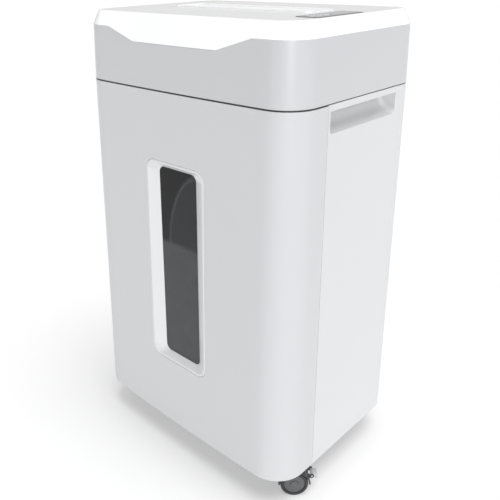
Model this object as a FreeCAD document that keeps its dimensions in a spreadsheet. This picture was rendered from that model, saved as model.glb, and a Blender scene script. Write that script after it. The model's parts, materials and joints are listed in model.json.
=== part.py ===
import FreeCAD, Part
import math
import os
import types
import Sketcher
from FreeCAD import Placement, Rotation, Vector

# A free-standing paper shredder: a pull-out bin drawer in a cabinet on four casters, and a
# cutting head on top. Millimetres, +Z up, front towards -Y. The origin is on the floor,
# under the middle of the whole object.

doc = FreeCAD.newDocument("PaperShredder")
sheet = doc.addObject("Spreadsheet::Sheet", "Sizes")

drivingSizes = {
    # outline of the cabinet at the seam under the head
    "bodyWidth": 380,
    "bodyDepth": 270,
    "frontBulge": 4,
    "frontCorner": 40,
    "rearCorner": 36,
    # levels and slopes of the outside
    "cabinetHeight": 518,
    "cabinetFlare": 6.2,
    "bandHeight": 76,
    "headDraft": 2.3,
    "coverHeight": 19,
    "coverInset": 9,
    # walls and gaps between mouldings
    "shellWall": 2.6,
    "seamGap": 0.8,
    "fitGap": 0.3,
    "headGap": 1.2,
    "trayRimInset": 1,
    "trayThickness": 3,
    # dip in the front edge of the top cover
    "dipDepth": 17,
    "dipBottomWidth": 150,
    "dipTopWidth": 256,
    # hand grips in the cabinet sides
    "gripLength": 150,
    "gripHeight": 27,
    "gripBelowSeam": 8,
    "gripBehindDrawer": 3.2,
    # bin drawer
    "drawerWrap": 65,
    "ribWidth": 8,
    "ribSpread": 180,
    "binWall": 2.4,
    "binWidth": 330,
    "binHeadroom": 1.4,
    "binRearGap": 6,
    "binCorner": 24,
    "binFaceInset": 3.7,
    # window in the drawer front
    "windowWidth": 110,
    "windowHeight": 312,
    "windowBelowSeam": 94,
    "windowCorner": 15,
    "paneWidth": 68,
    "paneHeight": 292,
    "paneCorner": 9,
    "paneThickness": 2,
    "paneLap": 3,
    "dishLip": 3,
    # base plate and runners
    "baseThickness": 4,
    "baseRise": 1.5,
    "bossRadius": 10.5,
    "bossHeight": 14,
    "runnerWidth": 14,
    "runnerLip": 3,
    "runnerLipHeight": 12,
    "runnerHeight": 17,
    "baseScrewSpread": 100,
    # casters
    "casterRise": 9,
    "casterSideInset": 25,
    "rearCasterInset": 46,
    "casterEndInset": 43,
    "wheelDiameter": 40,
    "wheelWidth": 12,
    "axleRadius": 3,
    "casterTrail": 12,
    "webThickness": 7,
    "fenderGap": 1,
    "fenderWall": 2.2,
    "hubRadius": 13,
    "stemRadius": 4,
    "stemLength": 13,
    "brakeOut": 26,
    "brakeUp": 8,
    "brakeWidth": 12,
    "brakeLength": 8,
    "brakeThickness": 2.4,
    "brakeLip": 6,
    "brakePin": 1.2,
    "brakeEar": 2,
    "runningFit": 0.08,
    # paper throat
    "slotPlace": 12,
    "slotWidth": 220,
    "slotGap": 7,
    "throatWidth": 240,
    "throatDepth": 60,
    "throatProud": 1.2,
    "flangeThickness": 3,
    "chuteWall": 3,
    "chuteDepth": 26,
    "funnelDepth": 9,
    "funnelWidth": 26,
    # cutting block
    "cutterCentres": 42,
    "cutterRadius": 23,
    "cutterThickness": 4.6,
    "cutterPitch": 10,
    "cutterCount": 22,
    "cutterNotch": 4,
    "cutterTeeth": 5,
    "spacerRadius": 17.5,
    "hexAcross": 16,
    "hexFit": 0.05,
    "shaftLevel": 38,
    "journalRadius": 7,
    "gearSeatRadius": 6,
    "bushWall": 2.5,
    "sidePlateThickness": 3,
    "sidePlateTop": 68,
    "sidePlateMargin": 36,
    "plateGap": 1,
    "stripperThickness": 4.2,
    "stripperGap": 0.7,
    "stripperReach": 32,
    "stripperMouth": 14,
    "stripperHalf": 22,
    "tieRodRadius": 3,
    "tieRodOut": 26,
    "tieRodUp": 12,
    # gear train and motor
    "gearGap": 1,
    "gearWidth": 7,
    "finalGearWidth": 9,
    "gearBacklash": 0.3,
    "pinionTeeth": 10,
    "firstWheelTeeth": 50,
    "firstModule": 1,
    "firstPinionTeeth": 12,
    "secondWheelTeeth": 36,
    "secondModule": 1.25,
    "secondPinionTeeth": 12,
    "finalTeeth": 30,
    "finalModule": 1.5,
    "syncTeeth": 21,
    "pinRadius": 3,
    "coverWall": 2,
    "coverRoom": 2.5,
    "rotorRadius": 20,
    "rotorLength": 50,
    "motorWall": 2,
    "motorEnd": 3,
    "motorRadius": 29,
    "motorLength": 88,
    "motorScrewOut": 19,
    "motorShaftRadius": 3,
    "motorEndGap": 1.5,
    "fanRadius": 25,
    "fanWidth": 12,
    "fanHub": 8,
    "fanSheet": 1.6,
    "fanBlades": 9,
    "screwRadius": 1.9,
    "screwHeadRadius": 3.6,
    "screwHeadHeight": 2,
    "flatHeadRadius": 2.8,
    "flatHeadHeight": 0.8,
    # control strip
    "stripWidth": 32,
    "stripLength": 96,
    "stripFromRight": 34,
    "stripPlace": -26,
    "stripThickness": 2,
    "stripProud": 0.5,
    "stripCorner": 4,
    "displayWidth": 22,
    "displayLength": 34,
    "displayPlace": 21,
    "displayThickness": 0.6,
    "keyRadius": 5.5,
    "keyPitch": 14,
    "keyFromEnd": 9,
    "keyProud": 0.7,
    "keyFlange": 1.2,
    "keyFlangeThickness": 1.5,
    # rear of the head
    "inletWidth": 28,
    "inletHeight": 21,
    "inletDepth": 20,
    "inletFlange": 3,
    "inletProud": 1.5,
    "inletPocket": 16,
    "inletPlace": -110,
    "inletLevel": 26,
    "socketWidth": 22,
    "socketHeight": 15,
    "contactThickness": 1.6,
    "contactWidth": 4,
    "contactSpread": 7,
    "contactRise": 2.5,
    "contactLength": 11,
    "rockerPlace": -62,
    "rockerWidth": 13,
    "rockerHeight": 19,
    "rockerWall": 2,
    "rockerDepth": 16,
    "rockerPivot": 4,
    "rockerProud": 2.5,
    "rockerGap": 0.6,
    "ventLevel": 20,
    "ventCount": 9,
    "ventPitch": 9,
    "ventWidth": 3.5,
    "ventHeight": 30,
    "ventPlace": 70,
    # electronics and sensing
    "boardLength": 96,
    "boardDepth": 62,
    "boardThickness": 1.6,
    "boardRaise": 8,
    "boardFanGap": 16,
    "boardInset": 3,
    "postRadius": 3,
    "capacitorRadius": 13,
    "capacitorLength": 48,
    "leverThickness": 3,
    "leverHeight": 3.6,
    "leverLength": 20,
    "leverPin": 1.5,
    "leverPinLength": 12,
    "leverPivot": 12,
    "leverBelowTop": 19,
    "plungerRadius": 2,
    "plungerTravel": 3,
    "plungerLevel": 10,
    "switchFromWall": 16,
    "switchWidth": 20,
    "switchDepth": 12,
    "switchHeight": 16,
}


class Length:
    """A size that carries its number and the spreadsheet formula it comes from."""

    def __init__(self, number, formula):
        self.number = number
        self.formula = formula

    def joined(self, sign, other, number):
        return Length(number, "(%s %s %s)" % (self.formula, sign, other.formula))

    def __add__(self, other):
        other = length(other)
        return self.joined("+", other, self.number + other.number)

    def __sub__(self, other):
        other = length(other)
        return self.joined("-", other, self.number - other.number)

    def __mul__(self, other):
        other = length(other)
        return self.joined("*", other, self.number * other.number)

    def __truediv__(self, other):
        other = length(other)
        return self.joined("/", other, self.number / other.number)

    def __radd__(self, other):
        return length(other) + self

    def __rsub__(self, other):
        return length(other) - self

    def __rmul__(self, other):
        return length(other) * self

    def __neg__(self):
        return length(0) - self


def length(value):
    """Let a plain number stand beside the sheet's sizes."""
    if isinstance(value, Length):
        return value
    return Length(float(value), repr(float(value)))


size = types.SimpleNamespace()
for row, (alias, value) in enumerate(drivingSizes.items(), start=1):
    sheet.set("A%d" % row, alias)
    sheet.set("B%d" % row, str(value))
    sheet.setAlias("B%d" % row, alias)
    setattr(size, alias, Length(float(value), "Sizes." + alias))
doc.recompute()

subParts = []


def subPart(part, name):
    """Name a finished piece; the name is also its file's name."""
    part.Label = name
    subParts.append(part)
    return part


def bind(part, place, value):
    part.setExpression(place, length(value).formula)


def moveTo(part, x, y, z, rotation=None):
    if rotation is not None:
        part.Placement = Placement(Vector(0, 0, 0), rotation)
    bind(part, "Placement.Base.x", x)
    bind(part, "Placement.Base.y", y)
    bind(part, "Placement.Base.z", z)


# --- solids made from primitives ---------------------------------------------------------

alongAxis = {
    "x": Rotation(Vector(0, 1, 0), 90),
    "y": Rotation(Vector(1, 0, 0), -90),
    "z": Rotation(),
}


def block(name, x, y, z):
    """A box from its lowest to its highest x, y and z."""
    part = doc.addObject("Part::Box", name)
    bind(part, "Length", length(x[1]) - x[0])
    bind(part, "Width", length(y[1]) - y[0])
    bind(part, "Height", length(z[1]) - z[0])
    moveTo(part, x[0], y[0], z[0])
    return part


def rod(name, axis, span, centre, radius):
    """A cylinder along an axis; centre holds its other two coordinates in x, y, z order."""
    part = doc.addObject("Part::Cylinder", name)
    bind(part, "Radius", radius)
    bind(part, "Height", length(span[1]) - span[0])
    spots = list(centre)
    spots.insert("xyz".index(axis), span[0])
    moveTo(part, spots[0], spots[1], spots[2], alongAxis[axis])
    return part


def joined(name, parts):
    result = doc.addObject("Part::MultiFuse", name)
    result.Shapes = parts
    result.Refine = True
    return result


def cut(name, base, tools):
    result = doc.addObject("Part::Cut", name)
    result.Base = base
    result.Tool = tools[0] if len(tools) == 1 else joined(name + "Tools", tools)
    return result


def overlap(name, first, second):
    result = doc.addObject("Part::Common", name)
    result.Base = first
    result.Tool = second
    return result


def group(name, parts):
    """Several separate solids of one kind, kept as one piece of the list."""
    result = doc.addObject("Part::Compound", name)
    result.Links = parts
    return result


def computed(name, shape):
    """A piece whose outline follows a formula, such as a gear."""
    part = doc.addObject("Part::Feature", name)
    part.Shape = shape
    return part


# --- sketches ----------------------------------------------------------------------------

originPoint = (-1, 1)
startOf, endOf, centreOf = 1, 2, 3


def hold(sketch, kind, *arguments):
    """Add a dimension whose value stays bound to the sheet."""
    value = length(arguments[-1])
    index = sketch.addConstraint(Sketcher.Constraint(kind, *arguments[:-1], value.number))
    sketch.setExpression("Constraints[%d]" % index, value.formula)


def line(start, end):
    return Part.LineSegment(Vector(*start, 0), Vector(*end, 0))


def arc(centre, radius, start, end):
    circle = Part.Circle(Vector(*centre, 0), Vector(0, 0, 1), radius)
    return Part.ArcOfCircle(circle, start, end)


def closeLoop(sketch, first, count, kind):
    for step in range(count):
        following = first + (step + 1) % count
        sketch.addConstraint(Sketcher.Constraint(kind, first + step, endOf, following, startOf))


def polygon(sketch, points):
    """A closed outline of straight edges, every corner held by its own two sizes."""
    corners = [(length(x), length(y)) for x, y in points]
    spots = [(x.number, y.number) for x, y in corners]
    first = sketch.GeometryCount
    for step, spot in enumerate(spots):
        sketch.addGeometry(line(spot, spots[(step + 1) % len(spots)]), False)
    closeLoop(sketch, first, len(spots), "Coincident")
    for step, (x, y) in enumerate(corners):
        hold(sketch, "DistanceX", *originPoint, first + step, startOf, x)
        hold(sketch, "DistanceY", *originPoint, first + step, startOf, y)


def roundedRectangle(sketch, across, up, corner):
    """A rectangle from its lowest to its highest values, with equal corner rounds."""
    left, right = length(across[0]), length(across[1])
    low, high = length(up[0]), length(up[1])
    radius = length(corner)
    l, r, b, t, c = left.number, right.number, low.number, high.number, radius.number
    quarter = math.pi / 2
    first = sketch.GeometryCount
    sketch.addGeometry(line((l + c, b), (r - c, b)), False)
    sketch.addGeometry(arc((r - c, b + c), c, -quarter, 0), False)
    sketch.addGeometry(line((r, b + c), (r, t - c)), False)
    sketch.addGeometry(arc((r - c, t - c), c, 0, quarter), False)
    sketch.addGeometry(line((r - c, t), (l + c, t)), False)
    sketch.addGeometry(arc((l + c, t - c), c, quarter, 2 * quarter), False)
    sketch.addGeometry(line((l, t - c), (l, b + c)), False)
    sketch.addGeometry(arc((l + c, b + c), c, 2 * quarter, 3 * quarter), False)
    closeLoop(sketch, first, 8, "Tangent")
    for side in (0, 4):
        sketch.addConstraint(Sketcher.Constraint("Horizontal", first + side))
    for side in (2, 6):
        sketch.addConstraint(Sketcher.Constraint("Vertical", first + side))
    for bend in (1, 3, 5, 7):
        hold(sketch, "Radius", first + bend, radius)
    hold(sketch, "DistanceY", *originPoint, first, startOf, low)
    hold(sketch, "DistanceX", *originPoint, first + 2, startOf, right)
    hold(sketch, "DistanceY", *originPoint, first + 4, startOf, high)
    hold(sketch, "DistanceX", *originPoint, first + 6, startOf, left)


def bodyOutline(sketch, outset):
    """The plan of the shredder: a slightly bowed front, straight sides and four round corners."""
    half = size.bodyWidth / 2 + outset
    back = backLine + outset
    front = length(size.frontCorner + outset)
    rear = length(size.rearCorner + outset)
    bow = (size.bodyWidth * size.bodyWidth / 4 + size.frontBulge * size.frontBulge)
    bow = bow / (size.frontBulge * 2)
    middle = frontLine - size.frontBulge + bow
    bow = bow + outset
    h, b, f, r = half.number, back.number, front.number, rear.number
    a, m = bow.number, middle.number
    cornerY = m - math.sqrt((a - f) ** 2 - (h - f) ** 2)
    lean = math.atan2(m - cornerY, h - f)
    quarter = math.pi / 2
    sketch.addGeometry(arc((0, m), a, math.pi + lean, 2 * math.pi - lean), False)
    sketch.addGeometry(arc((h - f, cornerY), f, -lean, 0), False)
    sketch.addGeometry(line((h, cornerY), (h, b - r)), False)
    sketch.addGeometry(arc((h - r, b - r), r, 0, quarter), False)
    sketch.addGeometry(line((h - r, b), (r - h, b)), False)
    sketch.addGeometry(arc((r - h, b - r), r, quarter, 2 * quarter), False)
    sketch.addGeometry(line((-h, b - r), (-h, cornerY)), False)
    sketch.addGeometry(arc((f - h, cornerY), f, math.pi, math.pi + lean), False)
    closeLoop(sketch, 0, 8, "Tangent")
    sketch.addConstraint(Sketcher.Constraint("Vertical", 2))
    sketch.addConstraint(Sketcher.Constraint("Vertical", 6))
    sketch.addConstraint(Sketcher.Constraint("Horizontal", 4))
    sketch.addConstraint(Sketcher.Constraint("PointOnObject", 0, centreOf, -2))
    hold(sketch, "Radius", 0, bow)
    hold(sketch, "Radius", 1, front)
    hold(sketch, "Radius", 7, front)
    hold(sketch, "Radius", 3, rear)
    hold(sketch, "Radius", 5, rear)
    hold(sketch, "DistanceY", *originPoint, 0, centreOf, middle)
    hold(sketch, "DistanceX", *originPoint, 2, startOf, half)
    hold(sketch, "DistanceX", *originPoint, 6, startOf, -half)
    hold(sketch, "DistanceY", *originPoint, 4, startOf, back)


def levelSketch(name, level, outset):
    sketch = doc.addObject("Sketcher::SketchObject", name)
    bind(sketch, "Placement.Base.z", level)
    bodyOutline(sketch, length(outset))
    return sketch


def taperedOutline(name, low, high, lowOutset, highOutset):
    """The body's plan carried from one level to another, growing or shrinking on the way."""
    result = doc.addObject("Part::Loft", name)
    lower = levelSketch(name + "Low", low, lowOutset)
    upper = levelSketch(name + "High", high, highOutset)
    result.Sections = [lower, upper]
    result.Solid = True
    result.Ruled = True
    return result


originRole = {"x": "YZ_Plane", "y": "XZ_Plane", "z": "XY_Plane"}


def bodySketch(body, name, axis, offset):
    """A sketch square to an axis of the body, at a distance along that axis."""
    sketch = body.newObject("Sketcher::SketchObject", name)
    planes = [plane for plane in body.Origin.OriginFeatures if plane.Role == originRole[axis]]
    sketch.AttachmentSupport = (planes[0], [""])
    sketch.MapMode = "FlatFace"
    along = -length(offset) if axis == "y" else length(offset)
    bind(sketch, "AttachmentOffset.Base.z", along)
    return sketch


def paddedBody(name, axis, span, draw):
    """A body padded along an axis from one place to another, from the outline that draw adds."""
    body = doc.addObject("PartDesign::Body", name)
    near = span[1] if axis == "y" else span[0]
    sketch = bodySketch(body, name + "Profile", axis, near)
    draw(sketch)
    pad = body.newObject("PartDesign::Pad", name + "Pad")
    pad.Profile = sketch
    bind(pad, "Length", length(span[1]) - span[0])
    body.Tip = pad
    return body


def pocketed(body, name, axis, near, depth, draw):
    """Cut an outline into a body, and make sure that it took something away."""
    doc.recompute()
    before = body.Shape.Volume
    sketch = bodySketch(body, name + "Profile", axis, near)
    draw(sketch)
    pocket = body.newObject("PartDesign::Pocket", name)
    pocket.Profile = sketch
    bind(pocket, "Length", depth)
    body.Tip = pocket
    doc.recompute()
    if body.Shape.Volume >= before:
        raise ValueError("%s cuts nothing" % name)
    return pocket


def turnedBody(name, centre, points):
    """A body turned about a line along x; points are (place along the line, radius)."""
    body = doc.addObject("PartDesign::Body", name)
    sketch = bodySketch(body, name + "Profile", "y", 0)
    polygon(sketch, points)
    turn = body.newObject("PartDesign::Revolution", name + "Turn")
    turn.Profile = sketch
    turn.ReferenceAxis = (sketch, ["H_Axis"])
    turn.Angle = 360
    body.Tip = turn
    moveTo(body, 0, *centre)
    return body


# --- levels and lines that many pieces share ---------------------------------------------

cabinetBottom = size.wheelDiameter + size.casterRise
seamLevel = cabinetBottom + size.cabinetHeight
bandBottom = seamLevel + size.headGap
bandTop = seamLevel + size.bandHeight
coverTop = bandTop + size.coverHeight
trayTop = bandBottom + size.trayThickness
frontLine = (size.frontBulge - size.bodyDepth) / 2
backLine = (size.frontBulge + size.bodyDepth) / 2
drawerLine = frontLine + size.drawerWrap
sideFace = size.bodyWidth / 2
farOut = size.bodyWidth
innerWall = -size.shellWall
bandSlope = size.headDraft / (size.bandHeight - size.headGap)
cabinetSlope = size.cabinetFlare / size.cabinetHeight

# --- cabinet shell and drawer front ------------------------------------------------------

cabinetOuter = taperedOutline("CabinetOuter", cabinetBottom, seamLevel, size.cabinetFlare, 0)
cabinetInner = taperedOutline(
    "CabinetInner", cabinetBottom, seamLevel, size.cabinetFlare - size.shellWall, innerWall)
cabinetRing = cut("CabinetRing", cabinetOuter, [cabinetInner])

gripFront = drawerLine + size.gripBehindDrawer
gripBack = gripFront + size.gripLength
gripTop = seamLevel - size.gripBelowSeam
gripReach = size.gripHeight + size.shellWall
binTop = gripTop - gripReach - size.binHeadroom


def gripScoop(side):
    """The hollow of one hand grip: a level ceiling over a round floor that runs out to a lip."""
    scoop = doc.addObject("Part::Cylinder", "GripScoop" + side)
    bind(scoop, "Radius", size.gripHeight)
    bind(scoop, "Height", size.gripLength)
    scoop.Angle = 180
    face = sideFace if side == "Right" else -sideFace
    moveTo(scoop, face, gripFront, gripTop, alongAxis["y"])
    return scoop


def gripCup(side):
    """The wall around one hand grip, inside the cabinet's own wall."""
    inner = sideFace - gripReach
    across = (inner, sideFace) if side == "Right" else (-sideFace, -inner)
    cupSpan = (gripFront - size.shellWall, gripBack + size.shellWall)
    turned = rod("GripRound" + side, "y", cupSpan,
                 (sideFace if side == "Right" else -sideFace, gripTop), gripReach)
    limit = block("GripLimit" + side, across, cupSpan, (gripTop - gripReach, gripTop))
    quarter = overlap("GripQuarter" + side, turned, limit)
    ceiling = block("GripCeiling" + side, across, cupSpan, (gripTop, gripTop + size.shellWall))
    trimmed = joined("GripCup" + side, [quarter, ceiling])
    return overlap("GripCupTrimmed" + side, trimmed, cabinetOuter)


behindDrawer = block("BehindDrawer", (-farOut, farOut), (drawerLine, farOut), (0, seamLevel))
sideWalls = overlap("SideWalls", cabinetRing, behindDrawer)
wallsWithCups = joined("WallsWithCups", [sideWalls, gripCup("Left"), gripCup("Right")])
subPart(cut("CabinetShell", wallsWithCups, [gripScoop("Left"), gripScoop("Right")]),
        "cabinet_shell")

windowTop = seamLevel - size.windowBelowSeam
windowBottom = windowTop - size.windowHeight
windowMiddle = (windowTop + windowBottom) / 2
windowHalf = size.windowWidth / 2
paneBack = frontLine + size.binFaceInset
paneFront = paneBack - size.paneThickness
binFace = paneBack + size.fitGap


def windowPrism(name, half, tall, corner, span):
    """A rounded upright opening through the drawer front, centred on the window."""
    return paddedBody(name, "y", span, lambda sketch: roundedRectangle(
        sketch, (-half, half), (windowMiddle - tall / 2, windowMiddle + tall / 2), corner))


ahead = -farOut
drawerTop = seamLevel - size.seamGap
beforeSeam = block("BeforeSeam", (-farOut, farOut), (-farOut, drawerLine - size.seamGap),
                   (0, drawerTop))
frontSkin = overlap("FrontSkin", cabinetRing, beforeSeam)
ribs = []
for side in (-1, 1):
    middle = side * size.ribSpread / 2
    ribs.append(block("DrawerRib", (middle - size.ribWidth / 2, middle + size.ribWidth / 2),
                      (-farOut, binFace), (windowBottom, binTop)))
drawerRibs = overlap("DrawerRibs", joined("RibPair", ribs), cabinetInner)
frontWithRibs = joined("FrontWithRibs", [frontSkin, drawerRibs])
bezelHole = windowPrism("BezelHole", windowHalf + size.fitGap, size.windowHeight
                        + size.fitGap * 2, size.windowCorner + size.fitGap, (ahead, binFace))
subPart(cut("DrawerFront", frontWithRibs, [bezelHole]), "drawer_front")

# The bezel follows the bowed front and dishes in to the pane, which is held from behind.
bezelPrism = windowPrism("BezelPrism", windowHalf, size.windowHeight, size.windowCorner,
                         (ahead, paneBack))
bezelBlank = overlap("BezelBlank", cabinetOuter, bezelPrism)


def uprightRectangle(name, place, half, tall, corner):
    sketch = doc.addObject("Sketcher::SketchObject", name)
    sketch.Placement = Placement(Vector(0, 0, 0), Rotation(Vector(1, 0, 0), 90))
    bind(sketch, "Placement.Base.y", place)
    roundedRectangle(sketch, (-half, half),
                     (windowMiddle - tall / 2, windowMiddle + tall / 2), corner)
    return sketch


dishMouth = frontLine - size.frontBulge - size.cabinetFlare
dish = doc.addObject("Part::Loft", "BezelDish")
dish.Sections = [
    uprightRectangle("DishMouth", dishMouth, windowHalf - size.dishLip,
                     size.windowHeight - size.dishLip * 2, size.windowCorner - size.dishLip),
    uprightRectangle("DishFloor", paneBack, size.paneWidth / 2, size.paneHeight,
                     size.paneCorner),
]
dish.Solid = True
dish.Ruled = True
paneSeat = windowPrism("PaneSeat", size.paneWidth / 2 + size.paneLap, size.paneHeight
                       + size.paneLap * 2, size.paneCorner, (paneFront, paneBack))
subPart(cut("WindowBezel", bezelBlank, [dish, paneSeat]), "window_bezel")
subPart(windowPrism("WindowPane", size.paneWidth / 2 + size.paneLap - size.fitGap,
                    size.paneHeight + size.paneLap * 2 - size.fitGap * 2,
                    size.paneCorner, (paneFront, paneBack)), "window_pane")

# --- base plate, runners and bin ---------------------------------------------------------

baseBottom = cabinetBottom + size.baseRise
baseTop = baseBottom + size.baseThickness
baseOutset = size.cabinetFlare - size.shellWall - size.fitGap
baseSheet = taperedOutline("BaseSheet", baseBottom, baseTop, baseOutset, baseOutset)
baseLimit = block("BaseLimit", (-farOut, farOut), (drawerLine, farOut), (0, seamLevel))
frontTongue = block("FrontTongue", (-sideFace + size.frontCorner / 2, sideFace
                    - size.frontCorner / 2), (frontLine + size.frontCorner / 4, drawerLine),
                    (baseBottom, baseTop))
casterX = sideFace - size.casterSideInset
rearCasterX = sideFace - size.rearCasterInset
casterFront = frontLine + size.casterEndInset
casterRear = backLine - size.casterEndInset
casterSpots = {
    "front_left": (-casterX, casterFront),
    "front_right": (casterX, casterFront),
    "rear_left": (-rearCasterX, casterRear),
    "rear_right": (rearCasterX, casterRear),
}
bossTop = baseTop + size.bossHeight - size.baseThickness
bosses = []
stemHoles = []
for spot in casterSpots.values():
    bosses.append(rod("Boss", "z", (baseBottom, bossTop), spot, size.bossRadius))
    stemHoles.append(rod("StemHole", "z", (0, seamLevel), spot,
                         size.stemRadius + size.runningFit))
binHalf = size.binWidth / 2
runnerMiddle = binHalf - size.runnerWidth / 2
baseScrewSpots = [(x * runnerMiddle, y * size.baseScrewSpread / 2) for x in (-1, 1) for y in (-1, 1)]
baseScrewHoles = [rod("BaseScrewHole", "z", (0, seamLevel), spot, size.screwRadius
                      + size.fitGap) for spot in baseScrewSpots]
baseBlank = joined("BaseBlank", [overlap("BaseRear", baseSheet, baseLimit), frontTongue]
                   + bosses)
subPart(cut("BasePlate", baseBlank, stemHoles + baseScrewHoles), "base_plate")


def screw(name, spot, top, into):
    """A pan-head screw on a vertical line: the head hangs below the face that it holds."""
    head = rod(name + "Head", "z", (top - size.screwHeadHeight, top), spot,
               size.screwHeadRadius)
    shank = rod(name + "Shank", "z", (top, top + into), spot, size.screwRadius)
    return joined(name, [head, shank])


runnerTop = baseTop + size.runnerHeight - size.baseThickness
binBottom = runnerTop + size.fitGap
screws = [screw("BaseScrew", spot, baseBottom, size.runnerHeight - size.baseThickness)
          for spot in baseScrewSpots]
runnerSpan = (drawerLine + size.seamGap, backLine - size.rearCorner)
for side, sign in (("left", -1), ("right", 1)):
    lipIn = sign * (binHalf + size.fitGap * 2)
    lipOut = sign * (binHalf + size.fitGap * 2 + size.runnerLip)
    railIn = sign * (binHalf - size.runnerWidth)
    rail = block("Rail", tuple(sorted((railIn, lipOut), key=lambda item: item.number)),
                 runnerSpan, (baseTop, runnerTop))
    lip = block("RailLip", tuple(sorted((lipIn, lipOut), key=lambda item: item.number)),
                runnerSpan, (runnerTop, runnerTop + size.runnerLipHeight))
    blank = joined("RunnerBlank", [rail, lip])
    clearance = [rod("RunnerBossGap", "z", (0, bossTop + size.fitGap), spot,
                     size.bossRadius + size.fitGap) for spot in casterSpots.values()]
    clearance += [rod("RunnerScrewBore", "z", (0, runnerTop), spot, size.screwRadius)
                  for spot in baseScrewSpots]
    subPart(cut("Runner" + side, blank, clearance), "runner_" + side)

binBack = backLine - size.shellWall - size.binRearGap
bin_ = paddedBody("WasteBin", "z", (binBottom, binTop), lambda sketch: roundedRectangle(
    sketch, (-binHalf, binHalf), (binFace, binBack), size.binCorner))
pocketed(bin_, "BinHollow", "z", binTop, binTop - binBottom - size.binWall,
         lambda sketch: roundedRectangle(
             sketch, (size.binWall - binHalf, binHalf - size.binWall),
             (binFace + size.binWall, binBack - size.binWall),
             size.binCorner - size.binWall))
pocketed(bin_, "BinWindow", "y", binFace, size.binWall, lambda sketch: roundedRectangle(
    sketch, (-size.paneWidth / 2, size.paneWidth / 2),
    (windowMiddle - size.paneHeight / 2, windowMiddle + size.paneHeight / 2),
    size.paneCorner))
subPart(bin_, "waste_bin")

# --- casters -----------------------------------------------------------------------------

wheelRadius = size.wheelDiameter / 2
wheelLevel = wheelRadius
fenderInner = wheelRadius + size.fenderGap
fenderOuter = fenderInner + size.fenderWall
hubTop = cabinetBottom - size.headGap
halfTrack = size.webThickness / 2 + size.fitGap * 2 + size.wheelWidth


# Each caster is drawn with its stem on the origin's vertical and its axle behind it, and is
# then turned and moved to its corner.
axleY = size.casterTrail
fenderSpan = (-halfTrack, halfTrack)
webSpan = (-size.webThickness / 2, size.webThickness / 2)
brakeY = axleY + size.brakeOut
brakeZ = wheelLevel + size.brakeUp
casterTurns = {"front_left": 45, "front_right": -45, "rear_left": -30, "rear_right": 20}


def casterFork(place, braked):
    """Hood, web, hub and stem in one moulding; a braked one has two ears for its pedal."""
    outer = rod("FenderOuter" + place, "x", fenderSpan, (axleY, wheelLevel), fenderOuter)
    inner = rod("FenderInner" + place, "x", fenderSpan, (axleY, wheelLevel), fenderInner)
    upper = block("FenderUpper" + place, fenderSpan, (axleY - fenderOuter, axleY
                  + fenderOuter), (wheelLevel, hubTop))
    fender = overlap("Fender" + place, cut("FenderRing" + place, outer, [inner]), upper)
    web = rod("Web" + place, "x", webSpan, (axleY, wheelLevel), fenderInner + size.fitGap)
    floor = block("WebFloor" + place, webSpan, (axleY - fenderOuter, axleY + fenderOuter),
                  (size.fenderWall + size.axleRadius, hubTop))
    trimmedWeb = overlap("TrimmedWeb" + place, web, floor)
    webAbove = block("WebAbove" + place, webSpan, (-size.hubRadius, axleY
                     + size.axleRadius * 2), (wheelLevel, hubTop - size.seamGap))
    hub = rod("Hub" + place, "z", (fenderOuter + wheelLevel - size.fenderWall, hubTop),
              (0, 0), size.hubRadius)
    stem = rod("Stem" + place, "z", (hubTop, baseTop + size.stemLength
                                     - size.baseThickness), (0, 0), size.stemRadius)
    parts = [fender, trimmedWeb, webAbove, hub, stem]
    bores = [rod("ForkBore" + place, "x", webSpan, (axleY, wheelLevel),
                 size.axleRadius + size.runningFit)]
    if braked:
        earRadius = size.brakeThickness / 2 + size.brakeEar
        for sign in (-1, 1):
            near = sign * (size.brakeWidth / 2 + size.fitGap)
            far = sign * (size.brakeWidth / 2 + size.fitGap + size.brakeEar)
            across = tuple(sorted((near, far), key=lambda item: item.number))
            parts.append(rod("EarRound" + place, "x", across, (brakeY, brakeZ), earRadius))
            parts.append(block("EarRoot" + place, across, (axleY + fenderInner, brakeY),
                               (brakeZ - earRadius, brakeZ + earRadius)))
        bores.append(rod("EarBore" + place, "x", fenderSpan, (brakeY, brakeZ),
                         size.brakePin + size.runningFit))
    return cut("Fork" + place, joined("ForkBlank" + place, parts), bores)


def brakePedal(place):
    """A cranked pedal on its own pin: pressed down, its lip swings in towards the wheels."""
    across = (-size.brakeWidth / 2, size.brakeWidth / 2)
    thick = size.brakeThickness
    tread = block("PedalTread" + place, across, (brakeY, brakeY + size.brakeLength),
                  (brakeZ - thick / 2, brakeZ + thick / 2))
    lip = block("PedalLip" + place, across, (brakeY + size.brakeLength - thick, brakeY
                + size.brakeLength), (brakeZ - size.brakeLip, brakeZ + thick / 2))
    eye = rod("PedalEye" + place, "x", across, (brakeY, brakeZ), thick / 2)
    pinHalf = size.brakeWidth / 2 + size.fitGap + size.brakeEar
    pin = rod("PedalPin" + place, "x", (-pinHalf, pinHalf), (brakeY, brakeZ), size.brakePin)
    return joined("Pedal" + place, [tread, lip, eye, pin])


def casterWheel(place, sign):
    """One of a caster's two wheels, with a rounded tread and a dished outer face."""
    near = size.webThickness / 2 + size.fitGap * 2
    far = near + size.wheelWidth
    tread = size.wheelWidth / 4
    points = [
        (near, size.axleRadius),
        (far - tread / 2, size.axleRadius),
        (far - tread / 2, wheelRadius / 2),
        (far, wheelRadius - tread * 2),
        (far, wheelRadius - tread),
        (far - tread, wheelRadius),
        (near + tread / 2, wheelRadius),
        (near, wheelRadius - tread / 2),
    ]
    turned = [(sign * along, radius) for along, radius in points]
    return turnedBody("Wheel" + place, (axleY, wheelLevel), turned)


def cornered(part, name):
    """Turn a caster's piece about its stem and move it to its corner."""
    x, y = casterSpots[name]
    moveTo(part, x, y, 0, Rotation(Vector(0, 0, 1), casterTurns[name]))
    return part


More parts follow.
